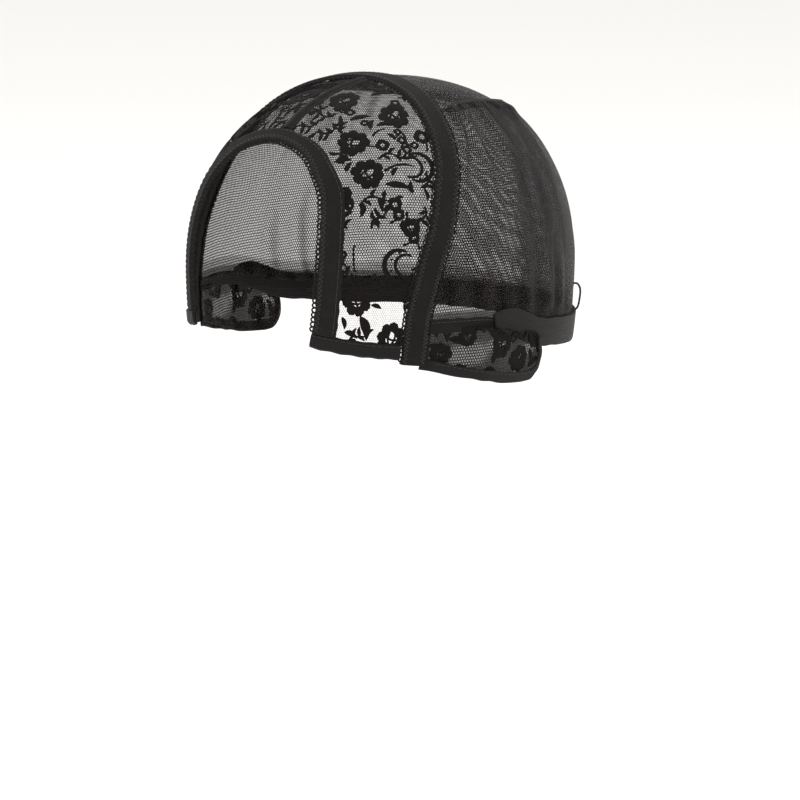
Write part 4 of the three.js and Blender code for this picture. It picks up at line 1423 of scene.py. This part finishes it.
# Ear tabs. A small panel of closely worked nylon lace, its motifs raised on a fine dark net that
# has a few lighter open places. It is sewn under the ear-to-ear band in front, and its rear lies
# over the start of the nape strap.
TAB_FRONT_DROP = 30.6
TAB_LOWEST_DROP = 41.6
TAB_REAR_AZIMUTH = 100.5
TAB_REAR_TOP_DROP = 22.5
TAB_CORNER_SHARE = 0.74
STRAP_START_AZIMUTH = 79.0
THIRD_LIFT = 2.8
TAB_ROWS = [
    # azimuth, drop share
    (52, -0.1),
    (60, 0.17),
    (67.5, 0.42),
    (74, 0.6),
    (82, 0.83),
    (89, 0.96),
    (93, 1),
    (97, 0.9),
]
TAB_MIDDLE = (79.0, -5.0, -26.0)
TAB_LACE_LIFT = 0.36
TAB_NET_THICKNESS = 0.14
TAB_NET_DEGREE = 1.4
TAB_CLOSENESS = 0.28
TAB_LACE_ROWS = [
    # kind, right, up, size, height share, turn
    ("rose", -37, 0, 11, 1, 0),
    ("rose", -25, 8, 9, 1, 35),
    ("rose", -6, 3, 12, 1, 20),
    ("rose", 5, -5, 12, 1, 50),
    ("rose", 16, 3, 10, 1, 10),
    ("leaf", -34, 7, 9, 1, -20),
    ("leaf", -43, 4, 9, 1, -30),
    ("leaf", -31, -7, 7, 1, 10),
    ("leaf", -14, 9, 8, 1, -35),
    ("leaf", -11, -5, 8, 1, 60),
    ("leaf", -16, -8, 7, 1, 0),
    ("leaf", -3, 10, 8, 1, 5),
    ("leaf", 12, -10, 8, 1, 20),
    ("leaf", 12, -2, 7, 1, -80),
    ("leaf", 20, -6, 7, 1, 100),
    ("bud", -42, -5, 5, 1, 10),
    ("bud", 1, 5, 4.5, 1, 0),
    ("bud", 11, 7, 4, 1, 60),
    ("sprig", -44, 9, 14, 1, -4),
    ("sprig", -21, 11, 11, 1, 0),
    ("sprig", -34, -10, 13, 1, 12),
    ("sprig", 19, 9, 12, 1, -80),
]
TAB_OPEN_ROWS = [
    # azimuth, drop, half length, half height
    (70, 25.5, 11, 5.8),
    (79.5, 23, 6, 3),
    (94.5, 28, 5, 3.2),
    (90, 35.5, 3, 2),
]


def tab_edge():
    """Outer edge of the right tab: along its lower side, round the rear corner and up."""
    drop = TAB_LOWEST_DROP - TAB_FRONT_DROP
    start = azimuth_of(point_at(ear_band_lap(0, EAR_BAND_END_ROLL), 1))
    lower = np.array([start] + [row[0] for row in TAB_ROWS if row[0] > start + 2])
    lower_points = round_point(lower, -(TAB_FRONT_DROP + read_table(TAB_ROWS, lower) * drop))
    rise = TAB_LOWEST_DROP - TAB_REAR_TOP_DROP
    rear = np.array([TAB_REAR_AZIMUTH - 0.6, TAB_REAR_AZIMUTH, TAB_REAR_AZIMUTH - 1])
    rear_drop = [TAB_LOWEST_DROP - 0.3 * rise, TAB_LOWEST_DROP - 0.6 * rise, TAB_REAR_TOP_DROP]
    return smooth_line(np.concatenate([lower_points, round_point(rear, -np.array(rear_drop))]))


def tab_rise(p):
    """The tab lies close in at the ear-to-ear band and over the strap at its rear."""
    return THIRD_LIFT * smoothstep(azimuth_of(p), STRAP_START_AZIMUTH - 19, STRAP_START_AZIMUTH - 2)


def tab_lift(p):
    """The lace runs under the nape band at its top."""
    below = -(p[..., 2] - nape_top(azimuth_of(p))[..., 2])
    return TAB_LACE_LIFT + 0.25 * smoothstep(below, NAPE_BAND_WIDTH, NAPE_BAND_WIDTH + 1.5) + tab_rise(p)


tab_line = tab_edge()
tab_drop = NAPE_BAND_WIDTH + SEAM_GAP - LAP
tab_front = ear_band_lap(roll_at_nape(tab_drop), EAR_BAND_END_ROLL)
tab_rear = section(tab_line, 1, TAB_CORNER_SHARE)
tab_starts = [azimuth_of(point_at(line, 0)) for line in (tab_front, tab_rear)]
tab_top = nape_line(*tab_starts, tab_drop)
tab_lower = section(tab_line, 0, TAB_CORNER_SHARE)
tab_outline = to_flat(outline_of(tab_top, tab_lower, tab_front, tab_rear), TAB_MIDDLE)
tab_surface = patch(tab_top, tab_lower, tab_front, tab_rear)
tab_net = cloth(
    tab_surface,
    np.linspace(0, 1, 60),
    np.linspace(0, 1, 30),
    lambda s, t, p: tab_lift(p) - 0.32,
    TAB_NET_THICKNESS,
)
tab_net_x, tab_net_y = azimuth_of(tab_net[0]) * TAB_NET_DEGREE, tab_net[0][:, 2]
tab_close = np.full(len(tab_net_x), TAB_CLOSENESS)
for azimuth, drop, half_length, half_height in TAB_OPEN_ROWS:
    aside = tab_net_x - TAB_NET_DEGREE * azimuth
    away = np.hypot(aside / half_length, (tab_net_y + drop) / half_height)
    tab_close = np.minimum(tab_close, TAB_CLOSENESS * smoothstep(away, 0.6, 1.25))
tab_net = (tab_net[0], np.stack([tab_net_x, tab_net_y, tab_close], -1), *tab_net[2:])
close_net = net_material("close-worked nylon net", 0.1, 0.5)
tab_lace = [(tab_net, close_net), (lace_work(TAB_LACE_ROWS, tab_outline, TAB_MIDDLE, tab_lift), lace_nylon)]
tab_right = make_piece("tab_lace_right", tab_lace, "lace", "ear_tab_lace_right")
tab_left = make_piece("tab_lace_left", on_left(tab_lace), "lace", "ear_tab_lace_left")


# Ear tab bindings. The same folded bias tape, 4.8 mm wide, closes the lower and rear edges of
# each tab, and narrows where it turns up the rear.
TAB_BINDING_WIDTH = 4.8
TAB_BINDING_REAR_WIDTH = 2.4
TAB_BINDING_LIFT = 0.95
TAB_BINDING_STEP = 0.85
TAB_BINDING_THICKNESS = 0.95


def tab_binding_width(u):
    ease = smoothstep(u, TAB_CORNER_SHARE - 0.05, TAB_CORNER_SHARE + 0.15)
    return TAB_BINDING_WIDTH + (TAB_BINDING_REAR_WIDTH - TAB_BINDING_WIDTH) * ease


tab_length = length_of(tab_line)
tab_under = (LAP + 2) / tab_length
tab_inner = beside(tab_line, tab_binding_width)


def tab_binding_lift(s, t, p):
    """The tape starts low, under the ear-to-ear band, and steps up onto the tab beyond it."""
    step = TAB_BINDING_STEP * smoothstep(s, 0.4 * tab_under, 1.2 * tab_under)
    return TAB_BINDING_LIFT + step + tab_rise(p)


tab_binding = [
    tape(
        (tab_line, tab_inner),
        90,
        (tab_length, TAB_BINDING_WIDTH),
        tab_binding_lift,
        rolled_edges(TAB_BINDING_THICKNESS, TAB_BINDING_WIDTH, 1.0),
        bias_tape,
    ),
    (
        stitch_row(
            straight_stitch(2.0),
            2.4,
            tab_inner,
            lambda p: 2.2 + tab_rise(p),
            -0.9,
            1.2 * tab_under,
            0.99,
        ),
        sewing_thread,
    ),
]
tab_tape_right = make_piece("tab_tape_right", tab_binding, "elastic", "ear_tab_binding_right")
tab_tape_left = make_piece("tab_tape_left", on_left(tab_binding), "elastic", "ear_tab_binding_left")


# Nape straps. A ribbed elastic, 12.6 mm wide and slightly shiny, starts under each tab, arches
# over the end of the nape band and runs round to the middle of the back.
STRAP_WIDTH = 12.6
STRAP_START_DROP = 9.2
STRAP_BACK_DROP = 24.0
STRAP_END_GAP = 2.4
STRAP_ROWS = [
    # azimuth, drop share
    (78, 0),
    (86, -0.1),
    (94, 0.12),
    (101, 0.4),
    (112, 0.59),
    (128, 0.8),
    (180, 1),
]


def strap_top(azimuth):
    share = read_table(STRAP_ROWS, azimuth)
    return round_point(azimuth, -(STRAP_START_DROP + share * (STRAP_BACK_DROP - STRAP_START_DROP)))


def strap_upper(u):
    end_azimuth = 180 - math.degrees(STRAP_END_GAP / 2 / CAP_HALF_LENGTH)
    return strap_top(STRAP_START_AZIMUTH + (end_azimuth - STRAP_START_AZIMUTH) * u)


ribbed_elastic = elastic_material("ribbed elastic strap", False, 0.9, -0.03, 0.6, "#211e1d", 0.14)
strap_lower = beside(strap_upper, -STRAP_WIDTH)
strap_middle = beside(strap_upper, -STRAP_WIDTH / 2)
strap_length = length_of(strap_upper)
strap = [
    tape(
        (strap_upper, strap_lower),
        150,
        (strap_length, STRAP_WIDTH),
        BAND_LIFT,
        rolled_edges(BAND_THICKNESS, STRAP_WIDTH, 0.8),
        ribbed_elastic,
    ),
    (
        stitch_row(zigzag_stitch(1.6, 3.0), 1.6, strap_middle, BAND_LIFT + 0.5, 0.0, 0.92, 0.99),
        sewing_thread,
    ),
]
make_piece("nape_elastic_strap_right", strap, "elastic", "nape_strap_right")
make_piece("nape_elastic_strap_left", on_left(strap), "elastic", "nape_strap_left")


# Nape clasp. A flat moulded plastic clasp that joins the two straps at the middle of the back. It
# is hidden in the photograph, so it is one plain piece with rounded edges, sewn to the straps.
CLASP_LENGTH = 18.0
CLASP_THICKNESS = 2.4
CLASP_LIFT = 2.8
CLASP_EDGE = 0.6
clasp_middle = point_at(strap_top, 180) - [0, 0, STRAP_WIDTH / 2]
clasp_normal = cap_normal(clasp_middle)
clasp_place = clasp_middle + clasp_normal * (CLASP_LIFT + CLASP_THICKNESS / 2) - [0, 0, CROWN_HEIGHT]
bpy.ops.object.select_all(action="DESELECT")
bpy.ops.mesh.primitive_cube_add(size=1, location=clasp_place * MM)
clasp = bpy.context.object
clasp.name = "clasp"
clasp.scale = (CLASP_LENGTH * MM, CLASP_THICKNESS * MM, (STRAP_WIDTH + 2) * MM)
clasp.rotation_euler = (math.asin(clasp_normal[2]), 0, 0)
bpy.ops.object.transform_apply(location=True, rotation=True, scale=True)
bpy.ops.object.mode_set(mode="EDIT")
bpy.ops.mesh.select_all(action="SELECT")
bpy.ops.mesh.bevel(offset=CLASP_EDGE * MM, segments=3, affect="EDGES")
bpy.ops.object.mode_set(mode="OBJECT")
bpy.ops.object.shade_smooth_by_angle(angle=math.radians(40))

# Moulded nylon, black. Smooth with a soft gloss and a very fine moulded grain.
clasp_nylon = new_material("moulded nylon")
clasp_place_node = add(clasp_nylon, "ShaderNodeTexCoord")
grain = add(
    clasp_nylon,
    "ShaderNodeTexNoise",
    {"Scale": 2500.0, "Detail": 2.0},
    {"Vector": clasp_place_node.outputs["Object"]},
)
scuffs = add(
    clasp_nylon,
    "ShaderNodeTexNoise",
    {"Scale": 180.0, "Detail": 4.0},
    {"Vector": clasp_place_node.outputs["Object"]},
)
clasp_rough = add(
    clasp_nylon, "ShaderNodeMapRange", {"To Min": 0.35, "To Max": 0.55}, {"Value": scuffs.outputs["Fac"]}
)
clasp_tone = add(
    clasp_nylon,
    "ShaderNodeMix",
    {"data_type": "RGBA", 6: colour("#161415"), 7: colour("#2a2728")},
    {0: scuffs.outputs["Fac"]},
)
clasp_relief = add(
    clasp_nylon,
    "ShaderNodeBump",
    {"Strength": 0.2, "Distance": 0.0001},
    {"Height": grain.outputs["Fac"]},
)
clasp_shader = add(
    clasp_nylon,
    "ShaderNodeBsdfPrincipled",
    {"IOR": 1.53},
    {
        "Base Color": clasp_tone.outputs[2],
        "Roughness": clasp_rough.outputs[0],
        "Normal": clasp_relief.outputs[0],
    },
)
add(clasp_nylon, "ShaderNodeOutputMaterial", {}, {"Surface": clasp_shader.outputs[0]})
clasp.data.materials.append(clasp_nylon)
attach(clasp, "root")
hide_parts("nape_clasp")


# Nape loops. A short loop of sewing thread, three strands twisted together, stands off the net
# above each strap, with both its feet sewn to the nape band.
LOOP_AZIMUTH = 128.0
LOOP_FOOT_DROP = 19.0
LOOP_HEIGHT = 12.5
LOOP_REACH = 4.0
LOOP_THREAD = 1.1
LOOP_TURNS = 9
LOOP_TWIST_RADIUS = 0.24
LOOP_STRAND_RADIUS = 0.29
LOOP_ROWS = [
    # up share, out share
    (0.03, 0),
    (0, 0.3),
    (0.1, 0.75),
    (0.45, 1),
    (0.8, 1),
    (0.97, 0.6),
    (0.97, 0),
]
loop_up, loop_out = np.array(LOOP_ROWS, float).T
loop_base = round_point(LOOP_AZIMUTH, loop_up * LOOP_HEIGHT - LOOP_FOOT_DROP)
loop_stand = SECOND_LIFT + loop_out * (LOOP_REACH - LOOP_THREAD / 2)
loop_points = loop_base + cap_normal(loop_base) * loop_stand[:, None]
loop_path = smooth_line(loop_points, lambda p: p)(np.linspace(0, 1, 60))
loop_side = np.cross([0, 0, 1.0], cap_normal(loop_base[3:4])[0])
twist = np.linspace(0, 2 * np.pi * LOOP_TURNS, 60)
loop_outward = unit(np.cross(np.gradient(loop_path, axis=0), loop_side))
strands = []
for start in (0, 2 * np.pi / 3, 4 * np.pi / 3):
    ring = np.cos(twist + start)[:, None] * loop_side + np.sin(twist + start)[:, None] * loop_outward
    strands.append(tube(loop_path + ring * LOOP_TWIST_RADIUS, LOOP_STRAND_RADIUS, 6, loop_side))
loop = join(strands)
make_piece("thread_loop_right", [(loop, sewing_thread)], "elastic", "nape_loop_right")
make_piece("thread_loop_left", [(mirrored(loop), sewing_thread)], "elastic", "nape_loop_left")


# Floor, light and camera. A pale floor well below the cap, which keeps the height at which it is
# worn, soft light all round, and the camera at the angle and distance of the photograph.
FLOOR_DROP = 0.36
CAMERA_TURN = 43.0
CAMERA_PITCH = 13.0
CAMERA_FOCUS = 3300.0
CAMERA_DISTANCE = 1.5
CAP_PIXEL = (383.0, 265.0)
PICTURE_SIZE = 800
SENSOR_WIDTH = 36.0
CAP_MIDDLE_DROP = 0.07

bpy.ops.object.select_all(action="DESELECT")
bpy.ops.mesh.primitive_plane_add(size=14, location=(0, 0, -FLOOR_DROP))
floor = bpy.context.object
floor.name = "floor"
floor_paint = new_material("matt studio floor")
floor_shader = add(
    floor_paint,
    "ShaderNodeBsdfPrincipled",
    {"Base Color": colour("#f4f2ef"), "Roughness": 0.9},
)
add(floor_paint, "ShaderNodeOutputMaterial", {}, {"Surface": floor_shader.outputs[0]})
floor.data.materials.append(floor_paint)

world = bpy.data.worlds.new("studio")
world.use_nodes = True
world.node_tree.nodes["Background"].inputs["Color"].default_value = (1, 1, 1, 1)
world.node_tree.nodes["Background"].inputs["Strength"].default_value = 1.0
bpy.context.scene.world = world

LIGHT_ROWS = [
    # x, y, z, size, power
    (-1.2, -1.6, 1.3, 1.2, 16),
    (1.8, -0.6, 1.0, 1.2, 13),
    (0.2, 1.2, 1.6, 1.2, 12),
    (0.3, -1.5, -0.1, 1.0, 4),
]
for x, y, z, size, power in LIGHT_ROWS:
    bpy.ops.object.light_add(type="AREA", location=(x, y, z))
    lamp = bpy.context.object
    lamp.data.size = size
    lamp.data.energy = power
    aim = -np.array([x, y, z + CAP_MIDDLE_DROP])
    turn = math.atan2(aim[1], aim[0]) - math.pi / 2
    lamp.rotation_euler = (math.acos(-aim[2] / np.linalg.norm(aim)), 0, turn)

turn, pitch = math.radians(CAMERA_TURN), math.radians(CAMERA_PITCH)
forward = np.array([-math.sin(turn) * math.cos(pitch), math.cos(turn) * math.cos(pitch), -math.sin(pitch)])
to_right = np.array([math.cos(turn), math.sin(turn), 0])
ray = forward + to_right * (CAP_PIXEL[0] - PICTURE_SIZE / 2) / CAMERA_FOCUS
ray = unit(ray - np.cross(to_right, forward) * (CAP_PIXEL[1] - PICTURE_SIZE / 2) / CAMERA_FOCUS)
camera_data = bpy.data.cameras.new("camera")
camera_data.sensor_width = SENSOR_WIDTH
camera_data.lens = SENSOR_WIDTH * CAMERA_FOCUS / PICTURE_SIZE
camera_data.clip_start = 0.01
camera = bpy.data.objects.new("camera", camera_data)
bpy.context.collection.objects.link(camera)
camera.location = np.array([0, 0, -CROWN_HEIGHT * MM]) - CAMERA_DISTANCE * ray
camera.rotation_euler = (math.pi / 2 - pitch, 0, turn)
bpy.context.scene.camera = camera
bpy.context.scene.view_settings.view_transform = "Standard"
